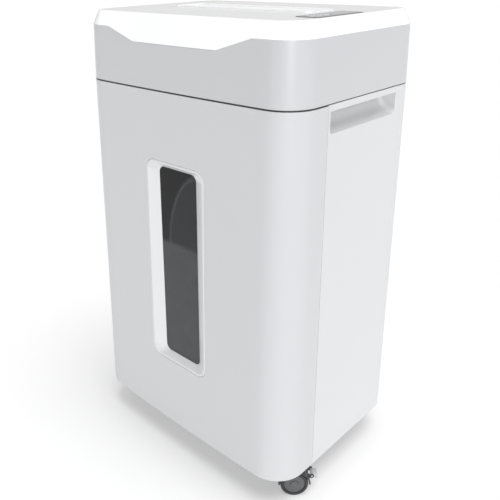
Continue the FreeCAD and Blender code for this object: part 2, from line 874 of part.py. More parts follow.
axleHalf = halfTrack - size.wheelWidth / 8
for name in casterSpots:
    place = name.title().replace("_", "")
    braked = name.startswith("front")
    subPart(cornered(casterFork(place, braked), name), name + "_caster_fork")
    axle = rod("Axle" + place, "x", (-axleHalf, axleHalf), (axleY, wheelLevel),
               size.axleRadius)
    wheels = [casterWheel(place + "Left", -1), casterWheel(place + "Right", 1), axle]
    subPart(cornered(group("Wheels" + place, wheels), name), name + "_caster_wheels")
    if braked:
        subPart(cornered(brakePedal(place), name), name + "_caster_brake")

# --- head: tray, band and top cover ------------------------------------------------------

stackHalf = size.cutterCount * size.cutterPitch / 2
plateInner = stackHalf + size.plateGap
plateOuter = plateInner + size.sidePlateThickness
frontShaft = (size.slotPlace - size.cutterCentres / 2, seamLevel + size.shaftLevel)
rearShaft = (size.slotPlace + size.cutterCentres / 2, seamLevel + size.shaftLevel)

trayRim = taperedOutline("TrayRim", seamLevel, bandBottom, -size.trayRimInset,
                         -size.trayRimInset)
trayInset = -size.shellWall - size.fitGap
traySheet = taperedOutline("TraySheet", bandBottom, trayTop, trayInset, trayInset)
outlet = block("Outlet", (-stackHalf, stackHalf), (frontShaft[0] - size.cutterRadius,
               rearShaft[0] + size.cutterRadius), (0, coverTop))
subPart(cut("HeadTray", joined("TrayBlank", [trayRim, traySheet]), [outlet]), "head_tray")

bandOuter = taperedOutline("BandOuter", bandBottom, bandTop, 0, -size.headDraft)
bandInner = taperedOutline("BandInner", bandBottom, bandTop, innerWall, innerWall
                           - size.headDraft)
bandRing = cut("BandRing", bandOuter, [bandInner])


def dipPrism(name, gap):
    """The shallow dip that the cover's front edge makes into the band."""
    low = bandTop - size.dipDepth - gap
    narrow = size.dipBottomWidth / 2 + gap
    wide = size.dipTopWidth / 2 + gap
    return paddedBody(name, "y", (ahead, 0), lambda sketch: polygon(
        sketch, [(-narrow, low), (narrow, low), (wide, bandTop), (-wide, bandTop)]))


def bandBack(level):
    """How far back the band's outer face is at a height above the seam."""
    return backLine - bandSlope * (length(level) - size.headGap)


def rearWindow(name, place, level, width, height):
    return block(name, (place - width / 2, place + width / 2), (0, farOut),
                 (seamLevel + level - height / 2, seamLevel + level + height / 2))


ventSlots = []
for step in range(int(size.ventCount.number)):
    middle = size.ventPlace + size.ventPitch * (step - (size.ventCount.number - 1) / 2)
    ventSlots.append(rearWindow("VentSlot", middle, size.ventLevel + size.ventHeight / 2,
                                size.ventWidth, size.ventHeight))
inletHole = rearWindow("InletHole", size.inletPlace, size.inletLevel, size.inletWidth,
                       size.inletHeight)
housingWidth = size.rockerWidth + size.rockerWall * 2
housingHeight = size.rockerHeight + size.rockerWall * 2
rockerHole = rearWindow("RockerHole", size.rockerPlace, size.inletLevel, housingWidth,
                        housingHeight)
subPart(cut("HeadBand", bandRing, [dipPrism("DipClearance", size.fitGap), inletHole,
                                   rockerHole] + ventSlots), "head_band")

coverFoot = -size.headDraft
coverBrow = -size.headDraft - size.coverInset
ceilingLevel = coverTop - size.shellWall
ceilingInset = coverFoot - size.shellWall - (size.coverInset / size.coverHeight
                                             * (size.coverHeight - size.shellWall))
coverOuter = taperedOutline("CoverOuter", bandTop, coverTop, coverFoot, coverBrow)
coverInner = taperedOutline("CoverInner", bandTop, ceilingLevel, coverFoot - size.shellWall,
                            ceilingInset)
coverCap = cut("CoverCap", coverOuter, [coverInner])
flap = overlap("CoverFlap", bandRing, dipPrism("DipFlap", 0))

throatTop = coverTop + size.throatProud
throatHalf = size.throatWidth / 2
throatNear = size.slotPlace - size.throatDepth / 2
throatFar = size.slotPlace + size.throatDepth / 2
flangeBottom = throatTop - size.flangeThickness
ledge = size.flangeThickness
throatCorner = size.flangeThickness * 3
stripX = sideFace - size.stripFromRight
stripHalf = size.stripWidth / 2
stripNear = size.stripPlace - size.stripLength / 2
stripFar = size.stripPlace + size.stripLength / 2
stripTop = coverTop + size.stripProud
stripBottom = stripTop - size.stripThickness
keySpots = {}
for step, name in enumerate(("forward", "power", "reverse")):
    keySpots[name] = (stripX, stripNear + size.keyFromEnd + size.keyPitch * step)


def flatPiece(name, x, y, z, corner):
    return paddedBody(name, "z", z, lambda sketch: roundedRectangle(sketch, x, y, corner))


throatRecess = flatPiece("ThroatRecess", (-throatHalf - size.fitGap, throatHalf
                         + size.fitGap), (throatNear - size.fitGap, throatFar
                         + size.fitGap), (flangeBottom, throatTop),
                         throatCorner + size.fitGap)
throatHole = block("ThroatHole", (ledge - throatHalf, throatHalf - ledge),
                   (throatNear + ledge, throatFar - ledge), (bandTop, throatTop))
stripRecess = flatPiece("StripRecess", (stripX - stripHalf - size.fitGap, stripX + stripHalf
                        + size.fitGap), (stripNear - size.fitGap, stripFar + size.fitGap),
                        (stripBottom, stripTop), size.stripCorner + size.fitGap)
keyHoles = [rod("KeyHole", "z", (bandTop, throatTop), spot, size.keyRadius + size.fitGap)
            for spot in keySpots.values()]
coverBlank = joined("CoverBlank", [coverCap, flap])
subPart(cut("TopCover", coverBlank, [throatRecess, throatHole, stripRecess] + keyHoles),
        "top_cover")

# --- throat guide, paper sensor and control strip ----------------------------------------

slotHalf = size.slotWidth / 2
chuteBottom = throatTop - size.chuteDepth
hopperHalf = size.funnelWidth / 2 + size.chuteWall
hopperBottom = throatTop - size.funnelDepth - size.chuteWall
chuteX = slotHalf + size.chuteWall
leverY = size.slotPlace - size.leverPivot
leverZ = throatTop - size.leverBelowTop
flange = flatPiece("ThroatFlange", (-throatHalf, throatHalf), (throatNear, throatFar),
                   (flangeBottom, throatTop), throatCorner)
hopper = block("Hopper", (-chuteX, chuteX), (size.slotPlace - hopperHalf, size.slotPlace
               + hopperHalf), (hopperBottom, flangeBottom))
chuteSide = size.slotGap / 2 + size.chuteWall
chute = block("Chute", (-chuteX, chuteX), (size.slotPlace - chuteSide, size.slotPlace
              + chuteSide), (chuteBottom, hopperBottom))
earHalf = size.leverPinLength / 2 + size.chuteWall
ears = block("PivotEars", (-earHalf, earHalf), (leverY - size.chuteWall, size.slotPlace
             - chuteSide), (chuteBottom, hopperBottom))
slot = block("PaperSlot", (-slotHalf, slotHalf), (size.slotPlace - size.slotGap / 2,
             size.slotPlace + size.slotGap / 2), (0, throatTop))
funnel = doc.addObject("Part::Wedge", "Funnel")
for prop, value in (
        ("Xmin", -slotHalf), ("Xmax", slotHalf), ("X2min", -slotHalf), ("X2max", slotHalf),
        ("Ymin", 0), ("Ymax", size.funnelDepth),
        ("Zmin", -size.slotGap / 2), ("Zmax", size.slotGap / 2),
        ("Z2min", -size.funnelWidth / 2), ("Z2max", size.funnelWidth / 2)):
    bind(funnel, prop, value)
moveTo(funnel, 0, size.slotPlace, throatTop - size.funnelDepth, Rotation(Vector(1, 0, 0), 90))
notchHalf = size.leverThickness / 2 + size.seamGap
leverEnd = leverY + size.leverLength
notch = block("LeverNotch", (-notchHalf, notchHalf), (leverY - size.chuteWall, leverEnd
              + size.chuteWall), (chuteBottom, leverZ + size.leverHeight))
pinBore = rod("LeverBore", "x", (-size.leverPinLength / 2 - size.fitGap, size.leverPinLength
              / 2 + size.fitGap), (leverY, leverZ), size.leverPin + size.runningFit)
guideBlank = joined("GuideBlank", [flange, hopper, chute, ears])
subPart(cut("ThroatGuide", guideBlank, [slot, funnel, notch, pinBore]), "throat_guide")

leverArm = block("LeverArm", (-size.leverThickness / 2, size.leverThickness / 2),
                 (leverY, leverEnd), (leverZ - size.leverHeight / 2, leverZ
                 + size.leverHeight / 2))
leverAxle = rod("LeverAxle", "x", (-size.leverPinLength / 2, size.leverPinLength / 2),
                (leverY, leverZ), size.leverPin)
leverEye = rod("LeverEye", "x", (-size.leverThickness / 2, size.leverThickness / 2),
               (leverY, leverZ), size.leverHeight / 2)
subPart(joined("SensorLever", [leverArm, leverAxle, leverEye]), "sensor_lever")

displayNear = size.stripPlace + size.displayPlace - size.displayLength / 2
displayFar = displayNear + size.displayLength
displayX = (stripX - size.displayWidth / 2, stripX + size.displayWidth / 2)
displaySpan = (stripTop - size.displayThickness, stripTop)
glass = flatPiece("StripGlass", (stripX - stripHalf, stripX + stripHalf),
                  (stripNear, stripFar), (stripBottom, stripTop), size.stripCorner)
glassHoles = [rod("GlassHole", "z", (bandTop, throatTop), spot, size.keyRadius
                  + size.fitGap) for spot in keySpots.values()]
displaySeat = block("DisplaySeat", displayX, (displayNear, displayFar), displaySpan)
subPart(cut("ControlStrip", glass, glassHoles + [displaySeat]), "control_strip")
subPart(flatPiece("DisplayLens", displayX, (displayNear, displayFar), displaySpan,
                  size.displayThickness), "display_lens")
flangeTop = ceilingLevel - size.fitGap
for name, spot in keySpots.items():
    cap = rod("KeyCap", "z", (flangeTop - size.keyFlangeThickness, stripTop + size.keyProud),
              spot, size.keyRadius)
    brim = rod("KeyBrim", "z", (flangeTop - size.keyFlangeThickness, flangeTop), spot,
               size.keyRadius + size.keyFlange)
    subPart(joined("Key" + name, [cap, brim]), name + "_key")

# --- cutting block -----------------------------------------------------------------------

tieRodSpots = []
for shaft, out in ((frontShaft, -1), (rearShaft, 1)):
    for up in (-1, 1):
        tieRodSpots.append((shaft[0] + size.tieRodOut * out, shaft[1] + size.tieRodUp * up))
bushRadius = size.journalRadius + size.runningFit + size.bushWall


def gearCentres(wheelTeeth, pinionTeeth, module):
    return (wheelTeeth + pinionTeeth) * module / 2


def swung(start, distance, degrees):
    """The point at a distance from another, at an angle from +Y towards +Z."""
    turn = math.radians(degrees)
    return (start[0] + distance * math.cos(turn), start[1] + distance * math.sin(turn))


finalDistance = gearCentres(size.finalTeeth, size.secondPinionTeeth, size.finalModule)
secondDistance = gearCentres(size.secondWheelTeeth, size.firstPinionTeeth, size.secondModule)
firstDistance = gearCentres(size.firstWheelTeeth, size.pinionTeeth, size.firstModule)
finalLine, secondLine, firstLine = 175, 185, 168
secondPin = swung(frontShaft, finalDistance, finalLine)
firstPin = swung(secondPin, secondDistance, secondLine)
motorLine = swung(firstPin, firstDistance, firstLine)


def sidePlate(name, span, near, holes):
    far = rearShaft[0] + size.sidePlateMargin
    blank = paddedBody(name, "x", span, lambda sketch: roundedRectangle(
        sketch, (near, far), (trayTop, seamLevel + size.sidePlateTop), size.trayThickness))
    return cut(name + "Drilled", blank, [rod(name + "Hole", "x", (-farOut, farOut), spot,
                                             radius) for spot, radius in holes])


sharedHoles = [(frontShaft, bushRadius), (rearShaft, bushRadius)]
sharedHoles += [(spot, size.tieRodRadius) for spot in tieRodSpots]
motorBoss = size.motorShaftRadius * 2
motorScrewSpots = [(motorLine[0], motorLine[1] + size.motorScrewOut * up)
                   for up in (-1, 1)]
rightHoles = sharedHoles + [(secondPin, size.pinRadius), (firstPin, size.pinRadius),
                            (motorLine, motorBoss)]
rightHoles += [(spot, size.screwRadius) for spot in motorScrewSpots]
subPart(sidePlate("LeftPlate", (-plateOuter, -plateInner), frontShaft[0]
                  - size.sidePlateMargin, sharedHoles), "side_plate_left")
subPart(sidePlate("RightPlate", (plateInner, plateOuter), motorLine[0] - size.motorRadius,
                  rightHoles), "side_plate_right")
subPart(group("TieRods", [rod("TieRod", "x", (-plateOuter, plateOuter), spot,
                              size.tieRodRadius) for spot in tieRodSpots]), "tie_rods")
bushes = []
for spot in (frontShaft, rearShaft):
    for span in ((-plateOuter, -plateInner), (plateInner, plateOuter)):
        outer = rod("BushOuter", "x", span, spot, bushRadius)
        bore = rod("BushBore", "x", (-farOut, farOut), spot, size.journalRadius
                   + size.runningFit)
        bushes.append(cut("Bush", outer, [bore]))
subPart(group("ShaftBushes", bushes), "shaft_bushes")

planeA = (plateOuter + size.gearGap, plateOuter + size.gearGap + size.gearWidth)
planeB = (planeA[1] + size.gearGap, planeA[1] + size.gearGap + size.gearWidth)
planeC = (planeB[1] + size.gearGap, planeB[1] + size.gearGap + size.finalGearWidth)
syncPlane = (-plateOuter - size.gearGap - size.finalGearWidth, -plateOuter - size.gearGap)
journalEnd = plateOuter + size.gearGap / 2
hexCorner = size.hexAcross / math.sqrt(3)


def cutterShaft(name, spot, leftEnd, rightEnd):
    """A hexagonal bar with round journals and round gear seats beyond them."""
    round_ = turnedBody(name + "Round", spot, [
        (leftEnd, 0), (leftEnd, size.gearSeatRadius), (-journalEnd, size.gearSeatRadius),
        (-journalEnd, size.journalRadius), (journalEnd, size.journalRadius),
        (journalEnd, size.gearSeatRadius), (rightEnd, size.gearSeatRadius), (rightEnd, 0)])
    hexagon = doc.addObject("Part::Prism", name + "Hex")
    hexagon.Polygon = 6
    bind(hexagon, "Circumradius", hexCorner)
    bind(hexagon, "Height", stackHalf * 2)
    moveTo(hexagon, -stackHalf, spot[0], spot[1], alongAxis["x"])
    return joined(name, [round_, hexagon])


seatEnd = size.gearGap / 2
subPart(cutterShaft("FrontShaft", frontShaft, syncPlane[0] - seatEnd, planeC[1] + seatEnd),
        "front_cutter_shaft")
subPart(cutterShaft("RearShaft", rearShaft, syncPlane[0] - seatEnd, journalEnd + seatEnd),
        "rear_cutter_shaft")


def ringFace(points):
    """A flat face in the plane across x, from points given as (y, z)."""
    corners = [Vector(0, y, z) for y, z in points]
    return Part.Face(Part.makePolygon(corners + corners[:1]))


def polar(radius, angle):
    return (radius * math.cos(angle), radius * math.sin(angle))


def hexHole(across):
    corner = across / math.sqrt(3)
    return ringFace([polar(corner, step * math.pi / 3 + math.pi / 2) for step in range(6)])


# A tooth's shape as shares of its pitch: the steep edge of its hook, then the places where
# its back rises to the next tip, less steeply than a straight ramp would.
hookEdge = 0.06
rampPlaces = (0.3, 0.5, 0.7, 0.85)
rampEase = 1.4
discTurn = 60


def cutterDiscs(name, spot, first):
    """Hook-toothed discs, one per pitch, on their hexagonal bore."""
    radius = size.cutterRadius.number
    depth = size.cutterNotch.number
    teeth = int(size.cutterTeeth.number)
    thick = size.cutterThickness.number
    rim = []
    for tooth in range(teeth):
        start = 2 * math.pi * tooth / teeth
        pitch = 2 * math.pi / teeth
        rim.append(polar(radius, start))
        rim.append(polar(radius - depth, start + pitch * hookEdge))
        for part in rampPlaces:
            rim.append(polar(radius - depth * (1 - part) / rampEase, start + pitch * part))
    hole = hexHole(size.hexAcross.number + size.hexFit.number * 2)
    disc = ringFace(rim).cut(hole).extrude(Vector(thick, 0, 0))
    discs = []
    for step in range(int(size.cutterCount.number)):
        one = disc.copy()
        one.rotate(Vector(0, 0, 0), Vector(1, 0, 0), discTurn * (step % 6))
        one.translate(Vector(first.number + step * size.cutterPitch.number, spot[0].number,
                             spot[1].number))
        discs.append(one)
    return computed(name, Part.makeCompound(discs))


def spacers(name, spot, spans):
    """Plain rings that hold the discs apart."""
    hole = hexHole(size.hexAcross.number + size.hexFit.number * 2)
    rings = []
    for low, high in spans:
        ring = Part.makeCylinder(size.spacerRadius.number, high - low, Vector(0, 0, 0),
                                 Vector(1, 0, 0)).cut(hole.extrude(Vector(high - low, 0, 0)))
        ring.translate(Vector(low, spot[0].number, spot[1].number))
        rings.append(ring)
    return computed(name, Part.makeCompound(rings))


def gapSpans(first):
    """The spaces between the discs of one shaft, and the ones at its ends."""
    spans = []
    low = -stackHalf.number
    for step in range(int(size.cutterCount.number)):
        disc = first.number + step * size.cutterPitch.number
        if disc - low > size.fitGap.number:
            spans.append((low, disc))
        low = disc + size.cutterThickness.number
    spans.append((low, stackHalf.number))
    return spans


def strippers(name, spot, out, spans):
    """Combs between the discs, open towards the paper and carried on the tie rods."""
    y, z = spot[0].number, spot[1].number
    inner = y - out * size.stripperMouth.number
    outer = y + out * size.stripperReach.number
    half = size.stripperHalf.number
    thick = size.stripperThickness.number
    blank = Part.makeBox(thick, abs(outer - inner), half * 2,
                         Vector(0, min(inner, outer), z - half))
    along = Vector(1, 0, 0)
    tools = [Part.makeCylinder(size.spacerRadius.number + size.stripperGap.number, thick,
                               Vector(0, y, z), along)]
    for rodY, rodZ in tieRodSpots:
        tools.append(Part.makeCylinder(size.tieRodRadius.number, thick,
                                       Vector(0, rodY.number, rodZ.number), along))
    comb = blank.cut(tools)
    combs = []
    for low, high in spans:
        if high - low > thick:
            one = comb.copy()
            one.translate(Vector((low + high - thick) / 2, 0, 0))
            combs.append(one)
    return computed(name, Part.makeCompound(combs))


for place, spot, out, first in (("front", frontShaft, -1, -stackHalf),
                                ("rear", rearShaft, 1, size.cutterPitch / 2 - stackHalf)):
    spans = gapSpans(first)
    subPart(cutterDiscs(place + "Discs", spot, first), place + "_cutter_discs")
    subPart(spacers(place + "Spacers", spot, spans), place + "_spacers")
    subPart(strippers(place + "Strippers", spot, out, spans), place + "_strippers")

# --- gears -------------------------------------------------------------------------------

pressureAngle = math.radians(20)
rootDepth = 1.35
flankSteps = 4


def gearOutline(teeth, module, turn):
    """Involute teeth, thinned by the backlash; tooth 0 points at the angle turn."""
    pitchRadius = teeth * module / 2
    base = pitchRadius * math.cos(pressureAngle)
    tip = pitchRadius + module
    root = pitchRadius - module * rootDepth
    halfTooth = math.pi / (2 * teeth) - size.gearBacklash.number / (2 * pitchRadius)
    involute = math.tan(pressureAngle) - pressureAngle
    points = []
    for tooth in range(teeth):
        middle = turn + 2 * math.pi * tooth / teeth
        flank = []
        for step in range(flankSteps + 1):
            radius = max(base, root) + (tip - max(base, root)) * step / flankSteps
            roll = math.sqrt(max((radius / base) ** 2 - 1, 0))
            flank.append((radius, halfTooth + involute - (roll - math.atan(roll))))
        width = flank[0][1]
        left = [polar(root, middle - width)] + [polar(r, middle - a) for r, a in flank]
        right = [polar(r, middle + a) for r, a in reversed(flank)]
        points += left + right + [polar(root, middle + width)]
    return points


def gear(teeth, module, turn, spot, span, bore):
    teeth = int(teeth.number)
    wide = (span[1] - span[0]).number
    solid = ringFace(gearOutline(teeth, module.number, turn)).extrude(Vector(wide, 0, 0))
    hole = Part.makeCylinder(bore.number, wide, Vector(0, 0, 0), Vector(1, 0, 0))
    solid = solid.cut(hole)
    solid.translate(Vector(span[0].number, spot[0].number, spot[1].number))
    return solid


def meshedTurn(teeth, module, turn, otherTeeth, degrees):
    """The turn of a gear that meshes with another one, which lies at an angle from it."""
    teeth, otherTeeth = teeth.number, otherTeeth.number
    heading = math.radians(degrees)
    pitch = 2 * math.pi / teeth
    lead = (turn - heading) % pitch
    return heading + math.pi - lead * teeth / otherTeeth + math.pi / otherTeeth


finalTurn = 0.0
secondTurn = meshedTurn(size.finalTeeth, size.finalModule, finalTurn, size.secondPinionTeeth,
                        finalLine)
firstTurn = meshedTurn(size.secondWheelTeeth, size.secondModule, secondTurn,
                       size.firstPinionTeeth, secondLine)
motorTurn = meshedTurn(size.firstWheelTeeth, size.firstModule, firstTurn, size.pinionTeeth,
                       firstLine)
syncModule = size.cutterCentres / size.syncTeeth
rearTurn = meshedTurn(size.syncTeeth, syncModule, 0.0, size.syncTeeth, 0)
seatBore = size.gearSeatRadius + size.hexFit
pinBoreRadius = size.pinRadius + size.runningFit

subPart(computed("FinalGear", gear(size.finalTeeth, size.finalModule, finalTurn, frontShaft,
                                   planeC, seatBore)), "final_gear")
subPart(computed("FrontSync", gear(size.syncTeeth, syncModule, 0.0, frontShaft, syncPlane,
                                   seatBore)), "front_sync_gear")
subPart(computed("RearSync", gear(size.syncTeeth, syncModule, rearTurn, rearShaft, syncPlane,
                                  seatBore)), "rear_sync_gear")


def compoundGear(name, spot, wheel, pinion):
    """A wheel and a smaller pinion in one piece, touching side by side on one pin."""
    teeth, module, turn, span = wheel
    small, smallModule, reach = pinion
    disc = gear(teeth, module, turn, spot, span, pinBoreRadius)
    cog = gear(small, smallModule, turn, spot, (span[1], reach), pinBoreRadius)
    return computed(name, disc.fuse(cog))


subPart(compoundGear("SecondReduction", secondPin,
                     (size.secondWheelTeeth, size.secondModule, secondTurn, planeB),
                     (size.secondPinionTeeth, size.finalModule, planeC[1])),
        "second_reduction_gear")
subPart(compoundGear("FirstReduction", firstPin,
                     (size.firstWheelTeeth, size.firstModule, firstTurn, planeA),
                     (size.firstPinionTeeth, size.secondModule, planeB[1])),
        "first_reduction_gear")
subPart(computed("MotorPinion", gear(size.pinionTeeth, size.firstModule, motorTurn, motorLine,
                                     planeA, size.motorShaftRadius + size.hexFit)),
        "motor_pinion")
pinEnd = planeC[1] + size.coverRoom - size.fitGap
subPart(group("GearPins", [rod("GearPin", "x", (plateInner, pinEnd), spot, size.pinRadius)
                           for spot in (firstPin, secondPin)]), "gear_pins")

gearTip = size.finalTeeth * size.finalModule / 2 + size.finalModule
coverNear = motorLine[0] - size.motorShaftRadius * 4
coverFar = frontShaft[0] + gearTip + size.coverRoom
coverHigh = secondPin[1] + (size.secondWheelTeeth / 2 + 1) * size.secondModule \
    + size.coverRoom
coverEnd = planeC[1] + size.coverRoom
coverSolid = block("GearCoverSolid", (plateOuter, coverEnd + size.coverWall),
                   (coverNear - size.coverWall, coverFar + size.coverWall),
                   (trayTop, coverHigh + size.coverWall))
coverRoom = block("GearCoverRoom", (plateOuter, coverEnd), (coverNear, coverFar),
                  (trayTop, coverHigh))
platePocket = block("GearCoverPlate", (plateOuter, coverEnd), (frontShaft[0], coverFar),
                    (trayTop, trayTop + size.coverWall))
subPart(cut("GearCover", coverSolid, [coverRoom, platePocket]), "gear_cover")

# --- motor -------------------------------------------------------------------------------

motorStart = plateInner - size.motorLength
caseBore = size.motorShaftRadius + size.runningFit
caseRoom = size.motorRadius - size.motorWall
subPart(turnedBody("MotorCase", motorLine, [
    (motorStart, caseBore), (motorStart, size.motorRadius - size.motorEnd),
    (motorStart + size.motorEnd, size.motorRadius), (plateInner, size.motorRadius),
    (plateInner, caseBore), (plateInner - size.motorEnd, caseBore),
    (plateInner - size.motorEnd, caseRoom), (motorStart + size.motorEnd, caseRoom),
    (motorStart + size.motorEnd, caseBore)]), "motor_case")
rotorStart = motorStart + (size.motorLength - size.rotorLength) / 2
rotorEnd = rotorStart + size.rotorLength
fanEnd = motorStart - size.motorEndGap
fanStart = fanEnd - size.fanWidth
subPart(turnedBody("MotorShaft", motorLine, [
    (fanStart, 0), (fanStart, size.motorShaftRadius), (rotorStart, size.motorShaftRadius),
    (rotorStart, size.rotorRadius), (rotorEnd, size.rotorRadius),
    (rotorEnd, size.motorShaftRadius), (planeA[1] + seatEnd, size.motorShaftRadius),
    (planeA[1] + seatEnd, 0)]), "motor_shaft")


def motorFan():
    """A hub and back plate with straight radial blades."""
    along = Vector(1, 0, 0)
    wide = size.fanWidth.number
    hub = Part.makeCylinder(size.fanHub.number, wide, Vector(0, 0, 0), along)
    thick = size.fanSheet.number
    plate = Part.makeCylinder(size.fanRadius.number, thick, Vector(0, 0, 0), along)
    blade = Part.makeBox(wide, size.fanRadius.number - thick, thick,
                         Vector(0, 0, -thick / 2))
    blades = []
    count = int(size.fanBlades.number)
    for step in range(count):
        one = blade.copy()
        one.rotate(Vector(0, 0, 0), along, 360 * step / count)
        blades.append(one)
    bore = Part.makeCylinder(size.motorShaftRadius.number + size.hexFit.number, wide,
                             Vector(0, 0, 0), along)
    fan = plate.fuse([hub] + blades).cut(bore)
    fan.translate(Vector(fanStart.number, motorLine[0].number, motorLine[1].number))
    return fan


subPart(computed("MotorFan", motorFan()), "motor_fan")
motorScrews = []
for spot in motorScrewSpots:
    head = rod("MotorScrewHead", "x", (plateOuter, plateOuter + size.flatHeadHeight), spot,
               size.flatHeadRadius)
    shank = rod("MotorScrewShank", "x", (plateInner, plateOuter), spot, size.screwRadius)
    motorScrews.append(joined("MotorScrew", [head, shank]))
subPart(group("Screws", screws + motorScrews), "screws")

# --- circuit board, capacitor and drawer switch ------------------------------------------

boardEnd = fanStart - size.boardFanGap
boardStart = boardEnd - size.boardLength
boardNear = motorLine[0] - size.motorRadius + size.boardInset
boardFar = boardNear + size.boardDepth
boardLow = trayTop + size.boardRaise
boardHigh = boardLow + size.boardThickness
posts = []
for x in (boardStart + size.postRadius * 2, boardEnd - size.postRadius * 2):
    for y in (boardNear + size.postRadius * 2, boardFar - size.postRadius * 2):
        posts.append(rod("BoardPost", "z", (trayTop, boardLow), (x, y), size.postRadius))
boardSheet = block("BoardSheet", (boardStart, boardEnd), (boardNear, boardFar),
                   (boardLow, boardHigh))
subPart(joined("CircuitBoard", [boardSheet] + posts), "circuit_board")
capacitorStart = boardStart + size.boardRaise
subPart(turnedBody("Capacitor", ((boardNear + boardFar) / 2, boardHigh
                                      + size.capacitorRadius), [
    (capacitorStart, 0), (capacitorStart, size.capacitorRadius),
    (capacitorStart + size.capacitorLength, size.capacitorRadius),
    (capacitorStart + size.capacitorLength, 0)]), "motor_capacitor")

skinInside = frontLine - size.frontBulge + size.shellWall
plungerZ = seamLevel - size.plungerLevel
switchNear = skinInside + size.switchFromWall
switchFar = switchNear + size.switchDepth
switchBlock = block("SwitchBlock", (-size.switchWidth / 2, size.switchWidth / 2),
                    (switchNear, switchFar), (seamLevel - size.switchHeight, seamLevel))
plungerHole = rod("PlungerHole", "y", (switchNear, switchFar - size.seamGap), (0, plungerZ),
                  size.plungerRadius + size.runningFit)
subPart(cut("DrawerSwitch", switchBlock, [plungerHole]), "drawer_switch")
subPart(rod("SwitchPlunger", "y", (skinInside + size.fitGap, switchFar - size.seamGap
                                   - size.plungerTravel - size.fitGap), (0, plungerZ),
            size.plungerRadius), "switch_plunger")

# --- mains inlet and rocker at the back --------------------------------------------------

rearFace = bandBack(size.inletLevel + size.inletHeight)
rearProud = bandBack(0) + size.inletProud
rearMiddle = seamLevel + size.inletLevel


def rearFitting(name, place, width, height, depth, pocket):
    """A flanged housing let into the back of the band, hollow from outside."""
    outer = rearBlock(name + "Flange", place, width + size.inletFlange * 2,
                      height + size.inletFlange * 2, (bandBack(0), rearProud))
    shank = rearBlock(name + "Shank", place, width, height, (rearFace - depth, rearProud))
    hollow = rearBlock(name + "Hollow", place, pocket[0], pocket[1],
                       (rearFace - pocket[2], rearProud))
    return cut(name, joined(name + "Blank", [outer, shank]), [hollow])


def rearBlock(name, place, width, height, span):
    return block(name, (place - width / 2, place + width / 2), span,
                 (rearMiddle - height / 2, rearMiddle + height / 2))


subPart(rearFitting("MainsInlet", size.inletPlace, size.inletWidth, size.inletHeight,
                    size.inletDepth, (size.socketWidth, size.socketHeight,
                                      size.inletPocket)), "mains_inlet")
contacts = []
for step, rise in ((-1, -1), (0, 1), (1, -1)):
    x = size.inletPlace + size.contactSpread * step
    z = rearMiddle + size.contactRise * rise
    contacts.append(block("Contact", (x - size.contactThickness / 2, x
                    + size.contactThickness / 2), (rearFace - size.inletPocket, rearFace
                    - size.inletPocket + size.contactLength), (z - size.contactWidth / 2, z
                    + size.contactWidth / 2)))
subPart(group("InletContacts", contacts), "inlet_contacts")
subPart(rearFitting("RockerHousing", size.rockerPlace, housingWidth, housingHeight,
                    size.rockerDepth, (size.rockerWidth, size.rockerHeight,
                                       size.rockerDepth - size.rockerWall)),
        "rocker_housing")
rockerY = rearFace - size.rockerPivot
rockerHalf = size.rockerHeight / 2 - size.rockerGap
rockerBlock = rearBlock("RockerBlock", size.rockerPlace, size.rockerWidth - size.rockerGap * 2,
                        size.rockerHeight, (rockerY - size.rockerPivot, rearProud
                                            + size.rockerProud))
rockerRound = rod("RockerRound", "x", (size.rockerPlace - size.rockerWidth, size.rockerPlace
                  + size.rockerWidth), (rockerY, rearMiddle), rockerHalf)
subPart(overlap("PowerRocker", rockerBlock, rockerRound), "power_rocker")

# --- check and write ---------------------------------------------------------------------

doc.recompute()
for item in doc.Objects:
    if "Invalid" in item.State or "Error" in item.State:
        raise ValueError("%s (%s) failed: %s" % (item.Name, item.Label, item.State))
for part in subParts:
    if part.Shape.isNull() or not part.Shape.isValid() or not part.Shape.Solids:
        raise ValueError("%s has no valid solid" % part.Label)

os.makedirs("parts", exist_ok=True)
for part in subParts:
    part.Shape.exportStep("parts/%s.step" % part.Label)
print("%d sub-parts written" % len(subParts))
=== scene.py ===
import bpy
import bmesh
import json
import math
from mathutils import Matrix, Vector

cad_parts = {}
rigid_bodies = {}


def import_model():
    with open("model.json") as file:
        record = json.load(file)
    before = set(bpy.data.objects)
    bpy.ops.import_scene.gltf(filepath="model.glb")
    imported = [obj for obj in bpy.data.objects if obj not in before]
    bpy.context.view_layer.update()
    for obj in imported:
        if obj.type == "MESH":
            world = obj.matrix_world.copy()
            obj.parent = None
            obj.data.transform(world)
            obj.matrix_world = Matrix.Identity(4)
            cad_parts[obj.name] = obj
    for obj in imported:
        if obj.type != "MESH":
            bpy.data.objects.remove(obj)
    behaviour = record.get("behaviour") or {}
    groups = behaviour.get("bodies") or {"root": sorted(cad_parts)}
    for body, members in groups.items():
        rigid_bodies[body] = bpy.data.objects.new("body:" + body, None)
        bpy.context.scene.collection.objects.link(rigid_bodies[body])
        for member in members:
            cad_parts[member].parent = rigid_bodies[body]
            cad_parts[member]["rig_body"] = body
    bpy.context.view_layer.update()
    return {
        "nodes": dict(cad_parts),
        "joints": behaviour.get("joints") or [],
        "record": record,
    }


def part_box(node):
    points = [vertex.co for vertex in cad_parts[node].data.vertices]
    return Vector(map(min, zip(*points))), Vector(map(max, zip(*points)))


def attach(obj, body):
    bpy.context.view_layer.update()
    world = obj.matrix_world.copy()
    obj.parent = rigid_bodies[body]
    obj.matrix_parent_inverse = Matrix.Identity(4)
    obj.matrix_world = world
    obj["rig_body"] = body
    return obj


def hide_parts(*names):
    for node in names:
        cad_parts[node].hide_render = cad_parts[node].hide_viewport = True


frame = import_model()
mm = 0.001
studio = bpy.context.scene
slotOf = {part["node"]: part["material_slot"] for part in frame["record"]["subparts"]}
jointOf = {joint["name"]: joint for joint in frame["joints"]}
upright = Matrix.Rotation(math.radians(90), 4, "X")   # turns a flat outline to face the front
